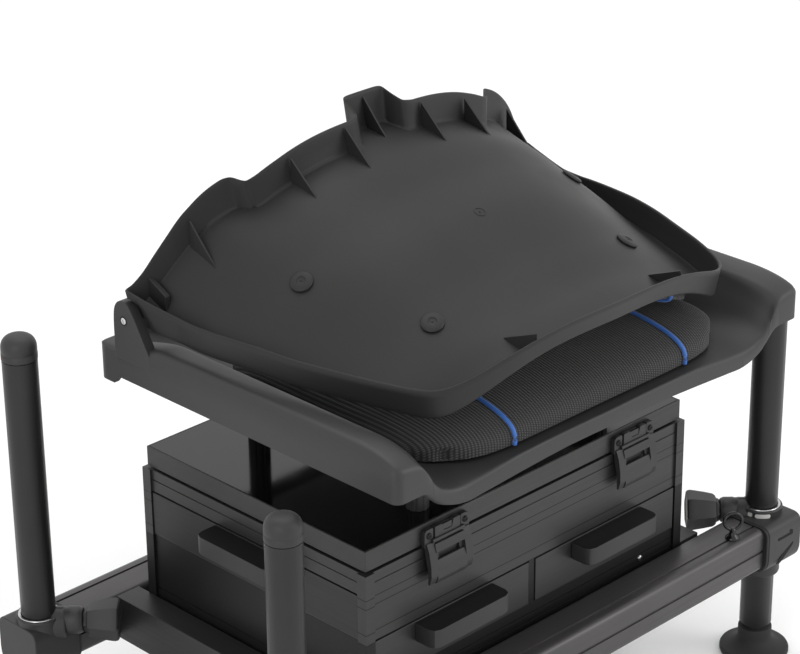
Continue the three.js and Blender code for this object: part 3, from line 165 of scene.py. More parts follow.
def anodised(name, colour, along, shaded_grooves=()):
    """Black anodised aluminium drawn through a die: satin, with fine lines along the draw.
    The noise is 1.2 mm across the lines and 150 mm along them, coarser than real ones so that it shows.
    Grooves are heights in metres of fine lines 0.9 mm wide that run round the piece, painted near-black as
    the shade inside each groove."""
    tree, shader, material = principled(name, colour, 0.42, 0.55)
    place = add_node(tree, "TexCoord").outputs["Object"]
    stretch = [830.0, 830.0, 830.0]
    stretch[along] = 7.0
    drawn_place = add_node(tree, "Mapping", {"Vector": place, "Scale": stretch})
    lines = add_node(tree, "TexNoise", {"Vector": drawn_place, "Scale": 1.0, "Detail": 3.0})
    cloud = add_node(tree, "TexNoise", {"Vector": place, "Scale": 14.0, "Detail": 3.0})
    colours = {"Factor": cloud, "A": linear(colour), "B": lighter(colour, 1.35)}
    tint = add_node(tree, "Mix", colours, data_type="RGBA")
    split = add_node(tree, "SeparateXYZ", {"Vector": place})
    # Painted shade: a near-black line at each groove's height.
    for level in shaded_grooves:
        band = {0: split.outputs["Z"], 1: level, 2: 0.00045}
        groove = add_node(tree, "Math", band, operation="COMPARE")
        colours = {"Factor": groove, "A": tint, "B": linear("080808")}
        tint = add_node(tree, "Mix", colours, data_type="RGBA")
    gloss_range = {"From Min": 0.3, "From Max": 0.7, "To Min": 0.34, "To Max": 0.5}
    worn = add_node(tree, "MapRange", {"Value": lines, **gloss_range})
    relief = add_node(tree, "Bump", {"Height": lines, "Strength": 0.12, "Distance": 0.0002})
    feed(shader, {"Base Color": tint, "Roughness": worn, "Normal": relief})
    return material


drawn_across = anodised("black_anodised_drawn_across", "3a3939", 0)
drawn_back = anodised("black_anodised_drawn_back", "302f2f", 1)


def shade(mesh, angle):
    """Smooth shading, kept sharp along edges that turn by more than the angle in degrees."""
    limit = float(np.radians(angle))
    work = bmesh.new()
    work.from_mesh(mesh)
    for face in work.faces:
        face.smooth = True
    for edge in work.edges:
        edge.smooth = len(edge.link_faces) == 2 and edge.calc_face_angle(0) < limit
    work.to_mesh(mesh)
    work.free()


def round_over(piece, width, segments=2):
    """Rounds the piece's edges over, as a mould or a die leaves them."""
    bevel = piece.modifiers.new("rounded_edges", "BEVEL")
    bevel.width = width / 1000
    bevel.segments = segments
    bevel.limit_method = "ANGLE"
    bevel.angle_limit = np.radians(32)
    bevel.harden_normals = True


def softened(node, body, material, width, segments=2):
    """A copy of a CAD solid with its triangles merged into flat faces and its edges rounded over."""
    work = bmesh.new()
    work.from_mesh(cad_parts[node].data)
    bmesh.ops.remove_doubles(work, verts=work.verts, dist=1e-6)
    bmesh.ops.dissolve_limit(work, angle_limit=0.01, verts=work.verts, edges=work.edges)
    mesh = bpy.data.meshes.new(node + "_shown")
    work.to_mesh(mesh)
    work.free()
    shade(mesh, 40)
    piece = shown_object(node + "_shown", mesh)
    mesh.materials.clear()
    mesh.materials.append(material)
    round_over(piece, width, segments)
    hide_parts(node)
    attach(piece, body)


rails_across = anodised("black_anodised_rails", "4a4849", 0)
for rail in ("front_rail", "rear_rail"):
    softened(rail, "box", rails_across, 0.7)
for rail in ("left_side_rail", "right_side_rail"):
    softened(rail, "box", drawn_back, 0.7)


# Legs: round satin black tubes, 36 mm across, each with a push-in domed cap of moulded plastic
# and a mud foot whose ball turns inside the tube's lower end.


def grid_quads(rows, columns, close_rows=False, close_columns=False):
    """Faces of a grid of points, each from a point to the next along and across, round where closed."""
    r = np.arange(rows - (not close_rows))[:, None]
    c = np.arange(columns - (not close_columns))
    r1, c1 = (r + 1) % rows, (c + 1) % columns
    square = [r * columns + c, r * columns + c1, r1 * columns + c1, r1 * columns + c]
    return np.stack(square, -1).reshape(-1, 4)


def end_faces(count, last):
    """The two faces that close a part of rings of that many points, the last ring starting at last."""
    return [np.arange(count)[None, ::-1], np.arange(last, last + count)[None]]


def stacked(*axes):
    """Places from their x, y and z, or from two of these, each a number or an array."""
    return np.stack(np.broadcast_arrays(*axes), -1)


def revolve(profile, sides=64, ring=False, swell=None):
    """A profile of (radius, height) rows turned round the z axis. The radius may swell with the angle.
    Its ends are closed by a face each, or joined to each other to make a ring."""
    radius, height = np.array(profile, float).T
    angle = np.arange(sides) * 2 * np.pi / sides
    reach = radius[:, None] * (np.ones(sides) if swell is None else swell(angle))
    points = stacked(reach * np.cos(angle), reach * np.sin(angle), height[:, None])
    faces = [grid_quads(len(radius), sides, ring, True)]
    if not ring:
        faces += end_faces(sides, (len(radius) - 1) * sides)
    return points.reshape(-1, 3), faces


def moved(part, *by):
    """The part moved by x, y and z."""
    return part[0] + by, part[1]


def closed_mesh(name, points, groups):
    """A mesh of closed parts from points in metres and groups of faces, which are turned outwards."""
    mesh = bpy.data.meshes.new(name)
    mesh.from_pydata(points.tolist(), [], [face for group in groups for face in group.tolist()])
    work = bmesh.new()
    work.from_mesh(mesh)
    bmesh.ops.recalc_face_normals(work, faces=work.faces)
    work.to_mesh(mesh)
    work.free()
    return mesh


origin_place = (0, 144, 0)


def make_piece(name, parts, body, material, angle=40):
    """One mesh of closed parts, each an array of points in millimetres and arrays of faces."""
    points = np.vstack([part[0] for part in parts])
    starts = np.cumsum([0] + [len(part[0]) for part in parts])
    groups = [group + start for part, start in zip(parts, starts) for group in part[1]]
    mesh = closed_mesh(name, (points - origin_place) / 1000, groups)
    shade(mesh, angle)
    mesh.materials.append(material)
    piece = shown_object(name, mesh)
    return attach(piece, body)


def moulded(name, colour, roughness, grain, depth):
    """Black polypropylene from a spark-eroded mould: a fine satin grain and faint flow clouds.
    The grain is drawn at about 1 mm, coarser than the real 0.3 mm so that it shows."""
    tree, shader, material = principled(name, colour, roughness)
    place = add_node(tree, "TexCoord").outputs["Object"]
    fine = add_node(tree, "TexNoise", {"Vector": place, "Scale": grain, "Detail": 4.0, "Roughness": 0.6})
    cloud = add_node(tree, "TexNoise", {"Vector": place, "Scale": 9.0, "Detail": 4.0})
    colours = {"Factor": cloud, "A": linear(colour), "B": lighter(colour, 1.3)}
    tint = add_node(tree, "Mix", colours, data_type="RGBA")
    gloss_range = {"From Min": 0.3, "From Max": 0.7, "To Min": roughness - 0.05, "To Max": roughness + 0.06}
    patchy = add_node(tree, "MapRange", {"Value": cloud, **gloss_range})
    relief = add_node(tree, "Bump", {"Height": fine, "Strength": depth, "Distance": 0.0003})
    feed(shader, {"Base Color": tint, "Roughness": patchy, "Normal": relief})
    return material


moulded_black = moulded("moulded_black_polypropylene", "242424", 0.5, 900.0, 0.35)
tube_black = anodised("black_anodised_tube", "2c2c2c", 2)
foot_rubber = moulded("black_foot_rubber", "1c1c1c", 0.75, 600.0, 0.5)

# Each corner has its side, the leg's place from front to back and the height of the tube's top.
corners = [
    ("front_left", -1, -22, 421), ("front_right", 1, -22, 421), ("rear_left", -1, 362, 477),
    ("rear_right", 1, 362, 477)
]
leg_x = 354.8

for corner, side, leg_y, leg_top in corners:
    x = side * leg_x
    tube = revolve([(16, 38.3), (17.6, 38.3), (18, 38.8), (18, leg_top), (16, leg_top)], ring=True)
    tube = moved(tube, x, leg_y, 0)
    piece = make_piece(corner + "_leg_tube", [tube], corner + "_leg_tube", tube_black)
    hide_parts(corner + "_leg")
    turn = np.linspace(0, np.pi / 2, 14)
    dome = stacked(np.maximum(18.2 * np.cos(turn) ** 0.62, 0.05), 13 + 13.2 * np.sin(turn))
    skirt = [
        (15.5, -9), (15.5, 0.3), (17.6, 0.3), (18.4, 1.1), (18.4, 7), (17.9, 7.6), (17.9, 8.4), (18.2, 9)
    ]
    cap = moved(revolve(skirt + dome.tolist()), x, leg_y, leg_top)
    piece = make_piece(corner + "_domed_cap", [cap], corner + "_leg_tube", moulded_black)
    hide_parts(corner + "_leg_cap")
    bend = np.linspace(-0.7, np.pi / 2, 16)
    ball = stacked(np.maximum(15.7 * np.cos(bend), 0.05), 48 + 15.7 * np.sin(bend))
    sole = [
        (36, 0), (38.4, 0.6), (39, 2), (39, 5.6), (38, 7.4), (35.5, 8.2), (30, 9.2), (22, 14.5),
        (19.6, 17.5), (19, 21), (19, 31), (18.6, 32.5), (17.4, 33), (12.8, 33.2), (12.2, 34), (12.2, 37.4)
    ]
    foot = moved(revolve(sole + ball.tolist()), x, leg_y, 0)
    piece = make_piece(corner + "_rubber_foot", [foot], corner + "_mud_foot", foot_rubber)
    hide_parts(corner + "_foot")


# Leg clamps: black castings that plug into the rails' ends. Each has a collar with a bare ring
# round the leg, a boss across the corner with a six-sided knob, and a soft seal against the rail.


def lengths(rows):
    """The length of each row, as a column."""
    return np.linalg.norm(rows, axis=1, keepdims=True)


def rounded(outline, radius, steps=6):
    """A closed outline with each corner replaced by a curve that starts and ends a radius away."""
    corner_points = np.array(outline, float)
    before = np.roll(corner_points, 1, 0) - corner_points
    after = np.roll(corner_points, -1, 0) - corner_points
    reach = np.broadcast_to(np.array(radius, float).reshape(-1, 1), (len(corner_points), 1))
    start = corner_points + before * np.minimum(reach / lengths(before), 0.49)
    end = corner_points + after * np.minimum(reach / lengths(after), 0.49)
    t = np.linspace(0, 1, steps)[None, :, None]
    bends = (1 - t) ** 2 * start[:, None] + 2 * t * (1 - t) * corner_points[:, None]
    return (bends + t**2 * end[:, None]).reshape(-1, 2)


def pulled(outline, low, high, axis):
    """A closed outline pulled straight along an axis, and closed by a face at each end.
    The outline is (y, z) along x, (x, z) along y, and (x, y) along z."""
    flat = np.array(outline, float)
    ends = np.repeat([low, high], len(flat))
    points = np.insert(np.vstack([flat, flat]), axis, ends, axis=1)
    count = len(flat)
    return points, [grid_quads(2, count, False, True), *end_faces(count, count)]


def brick(x0, x1, y0, y1, z0, z1):
    """A block by its limits."""
    return pulled([(x0, z0), (x1, z0), (x1, z1), (x0, z1)], y0, y1, 1)


def aimed(part, direction, place):
    """A part built along z, turned to lie along a level direction and moved to its place."""
    d = np.array([direction[0], direction[1], 0]) / np.hypot(*direction)
    basis = np.array([[-d[1], d[0], 0], [0, 0, 1], d])
    return part[0] @ basis + place, part[1]


def pulled_aside(outline, side, near, far):
    """An outline of (y, z) pulled along x from near to far on the given side."""
    return pulled(outline, *sorted([side * near, side * far]), 0)


def around_rail(side, rail_y, half, low, high, radii, near, far):
    """A block round a rail's end, its corners rounded by radii that start at the lower front one."""
    outline = [(rail_y - half, low), (rail_y + half, low), (rail_y + half, high), (rail_y - half, high)]
    return pulled_aside(rounded(outline, radii, 9), side, near, far)


tree, steel_shader, bare_steel = principled("bare_satin_steel", "c9c9c9", 0.28, 1.0)
steel_place = add_node(tree, "TexCoord").outputs["Object"]
steel_grain = add_node(tree, "TexNoise", {"Vector": steel_place, "Scale": 500.0, "Detail": 2.0})
steel_rough = add_node(tree, "MapRange", {"Value": steel_grain, "To Min": 0.2, "To Max": 0.38})
feed(steel_shader, {"Roughness": steel_rough})
pale_insert = moulded("pale_grey_insert", "c4c2c0", 0.45, 700.0, 0.15)
seal_rubber = moulded("black_seal_rubber", "0c0c0c", 0.6, 500.0, 0.3)

knob_height = 179
knob_flats = lambda angle: np.minimum(1, 0.865 / np.cos(np.mod(angle, np.pi / 3) - np.pi / 6))
for corner, side, leg_y, _ in corners:
    x = side * leg_x
    front = leg_y < 0
    rail_y = -29.3 if front else 369.3
    casting = around_rail(side, rail_y, 31, 122, 180, [21, 21, 12, 12], 322.8, 378.8)
    collar_side = [
        (18.3, 104), (22, 104), (23.5, 106), (23.5, 178), (23.2, 179), (23.2, 185), (23.6, 186),
        (23.4, 187.4), (22.4, 188), (18.3, 188)
    ]
    collar = moved(revolve(collar_side, ring=True), x, leg_y, 0)
    lean_way = (-side, 1 if front else -1)
    boss_side = [(14, 0), (14, 30), (14.6, 31), (14.6, 42), (14, 43), (12.8, 46)]
    boss = aimed(revolve(boss_side), lean_way, (x, leg_y, knob_height))
    step = aimed(revolve([(17, 0), (17, 26), (15.5, 29)]), lean_way, (x, leg_y, knob_height - 3))
    piece = make_piece(corner + "_clamp_casting", [casting, collar, boss, step], "box", moulded_black)
    round_over(piece, 2.2, 3)
    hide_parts(corner + "_clamp")
    ring_side = [(18.3, 187), (20.6, 187.2), (21.3, 188.2), (20.9, 188.9), (18.6, 188.7)]
    ring = moved(revolve(ring_side, 96, ring=True), x, leg_y, 0)
    make_piece(corner + "_collar_ring", [ring], "box", bare_steel)
    seal = around_rail(side, rail_y, 30.4, 122.6, 179.6, [20.5, 20.5, 12, 12], 319.2, 323.2)
    piece = make_piece(corner + "_seal", [seal], "box", seal_rubber)
    round_over(piece, 1.2, 3)

    # The knob: a hand wheel with six flats, its edges cut back at both ends.
    rim = [
        (11.5, 46.3), (12.5, 47.2), (13.4, 49.5), (16.4, 51), (18.4, 54), (20.4, 64), (22, 74), (22.6, 79),
        (21.9, 82), (20, 83.4), (17.6, 83.4), (16.6, 82.6), (0.1, 82.4)
    ]
    wheel = aimed(revolve(rim, 96, swell=knob_flats), lean_way, (x, leg_y, knob_height))
    piece = make_piece(corner + "_hand_wheel", [wheel], corner + "_knob", moulded_black, angle=28)
    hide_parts(corner + "_clamp_knob")


# Front clamps only: a pale insert let into the collar, a slot for the lever's hook in the casting,
# and an eye screw that pulls the clamp's plug tight inside the rail.


def bent(part, x, y, radius):
    """A flat part, drawn with width on x and height on z, bent round an upright post of that radius."""
    width, depth, height = part[0].T
    angle = width / radius
    reach = radius + depth
    return stacked(x + reach * np.sin(angle), y - reach * np.cos(angle), height), part[1]


def fine_brick(x0, x1, y0, y1, z0, z1, radius):
    """A block as thin slices along x, so that it can be bent smoothly; its ends are rounded."""
    along = np.linspace(0, np.pi, 25)
    middle, half = (x0 + x1) / 2, (x1 - x0) / 2
    x = middle - half * np.cos(along)
    near_end = np.maximum(radius - (x - x0), 0) ** 2
    far_end = np.maximum(radius - (x1 - x), 0) ** 2
    inset = radius - np.sqrt(np.maximum(radius**2 - near_end - far_end, 0.01))
    sides = [(y0, z0 + inset), (y1, z0 + inset), (y1, z1 - inset), (y0, z1 - inset)]
    rows = np.stack([stacked(x, y, z) for y, z in sides], 1)
    return rows.reshape(-1, 3), [grid_quads(len(x), 4, False, True), *end_faces(4, (len(x) - 1) * 4)]


def tube_along(path, radius, sides, closed=False):
    """A round wire carried along a path of points: rings stand square to the path's direction."""
    path = np.array(path, float)
    if closed:
        ahead_by = np.roll(path, -1, 0) - np.roll(path, 1, 0)
    else:
        ahead_by = np.gradient(path, axis=0)
    ahead_by /= lengths(ahead_by)
    side_way = np.cross(ahead_by, [0.03, 0.05, 1.0])
    side_way /= lengths(side_way)
    upper = np.cross(side_way, ahead_by)
    angle = np.arange(sides) * 2 * np.pi / sides
    cosine, sine = np.cos(angle)[None, :, None], np.sin(angle)[None, :, None]
    points = path[:, None] + radius * (side_way[:, None] * cosine + upper[:, None] * sine)
    faces = [grid_quads(len(path), sides, closed, True)]
    if not closed:
        faces += end_faces(sides, (len(path) - 1) * sides)
    return points.reshape(-1, 3), faces


dark_slot = principled("shadowed_slot", "050505", 0.9)[2]
black_wire = principled("gloss_black_wire", "070707", 0.22)[2]
casting_face = -60.35
for corner, side, leg_y, _ in corners[:2]:
    x = side * leg_x
    swing = 23.6 * np.radians(-44 if side > 0 else 44)
    insert = bent(fine_brick(-9.5 + swing, 7.5 + swing, -0.6, 0.45, 180.2, 184.9, 1.6), x, leg_y, 23.2)
    small = bent(fine_brick(-18.5 + swing, -13 + swing, -0.6, 0.45, 180.4, 185.2, 1.2), x, leg_y, 23.2)
    make_piece(corner + "_collar_insert", [insert, small], "box", pale_insert)
    hook = rounded([(0, 0), (26, 0), (26, 5.5), (20.5, 7.5), (20.5, 3), (0, 3)], 1.0, 4)
    hook += (338 if side > 0 else -366, 160)
    slash = rounded([(0, 0), (7, -1), (29, 14), (30, 18), (10, 8)], 1.2, 4)
    slash += (336 if side > 0 else -366, 132)
    slots = [pulled(slot, casting_face - 0.25, casting_face + 0.4, 1) for slot in (hook, slash)]
    make_piece(corner + "_casting_slots", slots, "box", dark_slot)
    eye_x, eye_y = side * 282.8, -39.3
    turn, ring_swing = np.arange(64) * 2 * np.pi / 64, side * 0.628
    level = 10 * np.cos(turn)
    ring_path = stacked(level * np.cos(ring_swing), -level * np.sin(ring_swing), 198.8 + 10 * np.sin(turn))
    ring = tube_along(ring_path, 1.8, 20, closed=True)
    base = revolve(
        [(8, 178.3), (8, 179.4), (6.4, 181.4), (4, 183.3), (3.4, 186), (3.6, 188.6), (2.2, 190.4)], 48
    )
    stud = revolve([(3, 174.3), (3, 178.6)], 24)
    eye = [moved(part, eye_x, eye_y, 0) for part in (ring, base, stud)]
    piece = make_piece(corner + "_pull_ring", eye, corner + "_eye", black_wire)
    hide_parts(corner + "_eye_screw")


# Drawer box: two modules of black anodised panels between proud corner posts, stacked. The upper
# one holds a wide drawer that opens to the left, the lower one two half-width drawers at the front.


def laid(part, axes, signs, place):
    """A part with its x, y and z taken from the given axes and times the signs, moved to its place."""
    return part[0][:, axes] * signs + place, part[1]


def screw(radius, x, y, z, recess):
    """A screw that faces the front: its domed head, and its cross recess as two dark bars in it. The
    recess is given as half its length, half its width and how far behind the head's middle it ends."""
    long, thin, depth = recess
    head = revolve([(radius, 0), (radius, 0.5), (radius - 0.4, 1.3), (1.9, 1.8), (0.05, 2.0)], 32)
    bars = [brick(x - w, x + w, y - 2.1, y - depth, z - h, z + h) for w, h in ((long, thin), (thin, long))]
    return laid(head, [0, 2, 1], (1, -1, 1), (x, y, z)), bars


# The three heights are grooves round the upper module, each painted as a near-black line of shade.
panels = anodised("black_anodised_panels", "3a3939", 0, (0.2996, 0.29, 0.2614))
# The lower module's case is painted far darker than the upper one: painted shade below the drawers' ledge.
shaded_lower_panels = anodised("black_anodised_lower_panels", "1b1b1b", 0)
softened("upper_box", "box", panels, 0.5)
softened("lower_box", "box", shaded_lower_panels, 0.5)
case_screws, case_crosses = [], []
for x in (-172, 172):
    head, bars = screw(3.2, x, -1.4, 183.2, (2.1, 0.4, 1.2))
    case_screws.append(head)
    case_crosses += bars
make_piece("case_screws", case_screws, "box", bare_steel)
make_piece("case_screw_crosses", case_crosses, "box", dark_slot)
softened("side_drawer", "side_drawer_tray", drawn_back, 0.5)

# The handles' hoods are painted darker on faces that look upward: painted shade standing in for the shallow
# recess on their tops.
shaded_top_black = moulded("moulded_black_polypropylene_painted_top_shade", "222121", 0.5, 800.0, 0.3)
tree = shaded_top_black.node_tree
shaded_top_shader = tree.nodes["Principled BSDF"]
plain_colour = shaded_top_shader.inputs["Base Color"].links[0].from_socket
hood_normal = add_node(tree, "NewGeometry").outputs["Normal"]
upward = add_node(tree, "SeparateXYZ", {"Vector": hood_normal}).outputs["Z"]
# Painted shade: the more a face looks upward, the nearer its colour comes to near-black.
painted_top_shade = add_node(tree, "MapRange", {"Value": upward, "From Min": 0.55, "From Max": 0.85})
top_shade_colours = {"Factor": painted_top_shade, "A": plain_colour, "B": linear("080808")}
feed(shaded_top_shader, {"Base Color": add_node(tree, "Mix", top_shade_colours, data_type="RGBA")})
softened("side_drawer_handle", "side_drawer_tray", shaded_top_black, 2.2, 3)
for name in ("left", "right"):
    softened(name + "_front_drawer", name + "_front_drawer_tray", drawn_across, 0.5)
    softened(
        name + "_front_drawer_handle", name + "_front_drawer_tray", shaded_top_black, 2.2, 3
    )


# Lid: a drawn rim with a glossy black sheet laid in it, hinged along the back.

softened("lid_frame", "lid", drawn_across, 0.6)
tree, gloss_shader, gloss_black = principled("gloss_black_acrylic", "030303", 0.08)
sheet_place = add_node(tree, "TexCoord").outputs["Object"]
smears = add_node(tree, "TexNoise", {"Vector": sheet_place, "Scale": 25.0, "Detail": 5.0})
smear_rough = add_node(tree, "MapRange", {"Value": smears, "To Min": 0.06, "To Max": 0.13})
ripple = add_node(tree, "TexNoise", {"Vector": sheet_place, "Scale": 7.0, "Detail": 1.0})
ripple_relief = add_node(tree, "Bump", {"Height": ripple, "Strength": 0.08, "Distance": 0.002})
feed(gloss_shader, {"Specular IOR Level": 0.42, "Roughness": smear_rough, "Normal": ripple_relief})
softened("lid_sheet", "lid", gloss_black, 0.3)
softened("lid_hinge_box_leaf", "box", bare_steel, 0.3)
softened("lid_hinge_lid_leaf", "lid", bare_steel, 0.3)
softened("lid_hinge_pin", "box", bare_steel, 0.2)


# Toggle latches: a screwed base on the lid with a middle plate whose fingers hold a barrel, and a
# lever hanging from it with a wing each side and a slot that hooks over the keeper on the box.

dark_screw = principled("blackened_screw", "2e2e2e", 0.38, 0.9)[2]
for name, x in (("left", -127), ("right", 152)):
    cheek = [(-31, 329), (-31, 345.6), (-19, 345.6), (-19, 331), (-23, 326.5), (-31, 326.5)]
    cheek = rounded(cheek, [2, 5, 2, 1, 1, 2], 5)
    middle = [
        (-17.5, 346), (-17.5, 329), (-12.5, 325), (-12.5, 331.5), (-6, 331.5), (-6, 326), (4, 326),
        (4, 331.5), (10.5, 331.5), (10.5, 326), (17.5, 330), (17.5, 346), (8, 346), (6, 338), (-5, 338),
        (-8, 346)
    ]
    base = [
        pulled(cheek, -5.6, -0.3, 1),
        pulled(cheek * (-1, 1), -5.6, -0.3, 1),
        brick(-30, 30, -2.2, -0.3, 328, 344.5),
        pulled(rounded(middle, 0.8, 3), -6.6, -1.5, 1),
        pulled([(-5.4, 345), (-4.2, 339), (-6.3, 338.4), (-6.3, 345)], -8, 6, 0),
    ]
    base = [moved(part, x, 0, 0) for part in base]
    piece = make_piece(name + "_latch_plate", base, "lid", moulded_black)
    round_over(piece, 0.5, 2)
    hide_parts(name + "_latch_base")
    barrel = laid(revolve([(2.3, -22), (2.3, 22)], 32), [2, 0, 1], (1, 1, 1), (x, -6.5, 332))
    make_piece(name + "_latch_barrel", [barrel], "lid", moulded_black)
    wing = [
        (-3.4, 332), (-7, 331), (-10.4, 322), (-13, 308), (-13.4, 296), (-10.5, 287), (-8.4, 287),
        (-8.8, 300), (-4.6, 318), (-3.4, 326)
    ]
    plate = [
        (-8.2, 311.5), (-10.6, 311.5), (-13.2, 304), (-13.4, 292), (-11, 286), (-8.6, 286), (-8.2, 296)
    ]
    bar = [(-6.4, 329), (-9.4, 329), (-11.6, 320), (-8.6, 320)]
    finger = [(-4.4, 330), (-6, 330), (-8.6, 312), (-7.2, 300), (-5.2, 312)]
    lever = [
        pulled(rounded(wing, 1.5, 4), -29.5, -19.5, 0),
        pulled(rounded(wing, 1.5, 4), 19.5, 29.5, 0),
        pulled(rounded(plate, 1.2, 4), -20.5, 20.5, 0),
        pulled(rounded(bar, 0.8, 4), -20.5, 20.5, 0),
        pulled(finger, -20.5, -14.5, 0),
        pulled(finger, 14.5, 20.5, 0),
    ]
    lever = [moved(part, x, 0, 0) for part in lever]
    piece = make_piece(name + "_latch_lever_plate", lever, name + "_latch", moulded_black)
    round_over(piece, 0.6, 2)
    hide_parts(name + "_latch_lever")
    softened(name + "_latch_keeper", "box", moulded_black, 0.4)
    screws, crosses = [], []
    for u in (-25, 25):
        head, bars = screw(3.3, x + u, -5.5, 338.5, (2.2, 0.45, 1.4))
        screws.append(head)
        crosses += bars
    make_piece(name + "_latch_screws", screws, "lid", dark_screw)
    make_piece(name + "_latch_screw_crosses", crosses, "lid", dark_slot)


# Seat tray: one moulding of black polypropylene, 4.5 mm thick. A flat floor turns up into two
# rounded arms at the sides, a lip at the front and a wall at the back, with an ear for each pin.


def curve(place, value, at):
    """A smooth curve through the values at rising places: cubic pieces, each with the local average
    slope at its ends. A value may be a row of numbers."""
    slope = np.gradient(value, place, axis=0)
    i = np.clip(np.searchsorted(place, at) - 1, 0, len(place) - 2)
    width = place[i + 1] - place[i]
    t = np.clip((at - place[i]) / width, 0, 1)
    shape = np.shape(t) + (1,) * (value.ndim - 1)
    t, width = np.reshape(t, shape), np.reshape(width, shape)
    return (
        (2 * t**3 - 3 * t**2 + 1) * value[i]
        + (t**3 - 2 * t**2 + t) * width * slope[i]
        + (3 * t**2 - 2 * t**3) * value[i + 1]
        + (t**3 - t**2) * width * slope[i + 1]
    )


def through(pairs, at):
    """The smooth curve through (place, value) pairs."""
    place, value = np.array(pairs, float).T
    return curve(place, value, at)


def smooth(at, low, high):
    """Nothing below low, one above high, and an even turn between them."""
    t = np.clip((at - low) / (high - low), 0, 1)
    return t * t * (3 - 2 * t)


def closed_grids(upper, lower):
    """Two grids of points, joined round their edges."""
    rows, columns = upper.shape[:2]
    grid = grid_quads(rows, columns)
    number = np.arange(rows * columns).reshape(rows, columns)
    edge = np.concatenate([number[0, :-1], number[:-1, -1], number[-1, :0:-1], number[:0:-1, 0]])
    count = rows * columns
    edge_faces = stacked(edge, np.roll(edge, -1), np.roll(edge, -1) + count, edge + count)
    points = np.vstack([upper.reshape(-1, 3), lower.reshape(-1, 3)])
    return points, [grid, grid + count, edge_faces]


tray_half, tray_front, tray_back, tray_floor, arm_rise = 290.8, -104.0, 317.0, 454.0, 57.0
# Half cross-sections: places across in shares of the half width, rises in shares of the arms' rise.
middle_across = [0, 0.22, 0.45, 0.64, 0.735, 0.8, 0.845, 0.872, 0.9, 0.955, 0.985, 1]
middle_rise = [0, 0, 0, 0, 0.05, 0.22, 0.52, 0.76, 0.86, 0.89, 0.87, 0.77]
back_rise = [0, 0, 0, 0.02, 0.08, 0.25, 0.46, 0.56, 0.61, 0.63, 0.62, 0.56]
front_across = [0, 0.22, 0.45, 0.62, 0.72, 0.8, 0.85, 0.885, 0.908, 0.955, 0.985, 1]
front_rise = [0.02, 0.03, 0, -0.11, -0.15, -0.05, 0.15, 0.42, 0.53, 0.58, 0.58, 0.53]
lip_across = [0, 0.22, 0.45, 0.62, 0.72, 0.8, 0.845, 0.88, 0.91, 0.955, 0.975, 0.984]
lip_rise = [-0.28, -0.27, -0.32, -0.37, -0.385, -0.27, -0.1, 0.05, 0.1, 0.105, 0.105, 0.105]
steps = np.concatenate([np.linspace(0, 3, 7)[:-1], np.linspace(3, 11, 81)])
section = lambda row: curve(np.arange(12.0), np.array(row), steps)
at_front = tray_front + np.array([0, 0.25, 0.6, 1.1, 1.8, 2.8, 4, 4.8, 5, 5.3, 6.5, 7.5])
between = np.linspace(tray_front + 9, tray_back - 56, 76)
near_back = np.linspace(tray_back - 54, tray_back - 14, 20)
at_back = tray_back - np.array([12, 10, 8, 6.5, 5.3, 5, 4, 2.6, 1.5, 0.7, 0.2, 0])
stations = np.unique(np.concatenate([at_front, between, near_back, at_back]))
along = stations[:, None]
arc = lambda distance, radius: 1 - np.sqrt(np.maximum(1 - np.maximum(1 - distance / radius, 0) ** 2, 0))
front_turn = arc(along - tray_front, 62)
back_turn = smooth(along, tray_back - 96, tray_back - 16)
wall_turn = arc(tray_back - along, 48)
rows = (middle_across, middle_across, front_across), (middle_rise, back_rise, front_rise)
mixed = []
for middle_row, back_row, front_row in rows:
    towards_back = section(middle_row) * (1 - back_turn) + section(back_row) * back_turn
    mixed.append(towards_back * (1 - front_turn) + section(front_row) * front_turn)
drawn_in = 1 - (9 * arc(along - tray_front, 9) + 7 * arc(tray_back - along, 10)) / tray_half
half_x = mixed[0] * drawn_in * tray_half
rise = mixed[1] * arm_rise
rise = np.maximum(rise, rise * (1 - wall_turn) + 36 * wall_turn)
rise = rise - 3 * arc(along - tray_front, 3) - 3 * arc(tray_back - along, 3)
foot = 6 - 9 * smooth(along, tray_back - 32, tray_back - 22)
half_x = np.hstack([half_x, half_x[:, -1:], half_x[:, -1:]])
rise = np.hstack([rise, 0.5 * (rise[:, -1:] + foot), foot])
top_x = np.hstack([-half_x[:, :0:-1], half_x])
top_z = tray_floor + np.hstack([rise[:, :0:-1], rise])
dx, dz = np.gradient(top_x, axis=1), np.gradient(top_z, axis=1)
length = np.maximum(np.hypot(dx, dz), 1e-6)
thick = 4.5
under_x, under_z = top_x + dz / length * thick, top_z - dx / length * thick
under_x[:, 0], under_x[:, -1] = top_x[:, 0] + thick, top_x[:, -1] - thick
under_z[:, [0, -1]] = tray_floor + foot
lip_x = section(lip_across) * tray_half * np.minimum(drawn_in, 1)
lip_z = tray_floor + np.minimum(section(lip_rise) * arm_rise, 6) + 0 * along
lip_x = np.hstack([lip_x, lip_x[:, -1:], half_x[:, -1:] - thick])
lip_z = np.hstack([lip_z, lip_z[:, -1:], 0 * along + tray_floor + 6])
lip_x, lip_z = np.hstack([-lip_x[:, :0:-1], lip_x]), np.hstack([lip_z[:, :0:-1], lip_z])
in_lip = along <= tray_front + 5
in_wall = along >= tray_back - 5
under_x = np.where(in_lip, lip_x, np.where(in_wall, top_x * 0.985, under_x))
wall_z = np.minimum(tray_floor - 3.4, top_z - 2)
under_z = np.where(in_lip, lip_z, np.where(in_wall, wall_z, under_z))
tray_body = closed_grids(stacked(top_x, along, top_z), stacked(under_x, along, under_z))
ear_outline = [
    (290.6, 482), (290.6, 524), (288.4, 537), (281, 544.6), (270, 545), (261.8, 535.5), (236.6, 494),
    (236.6, 482)
]
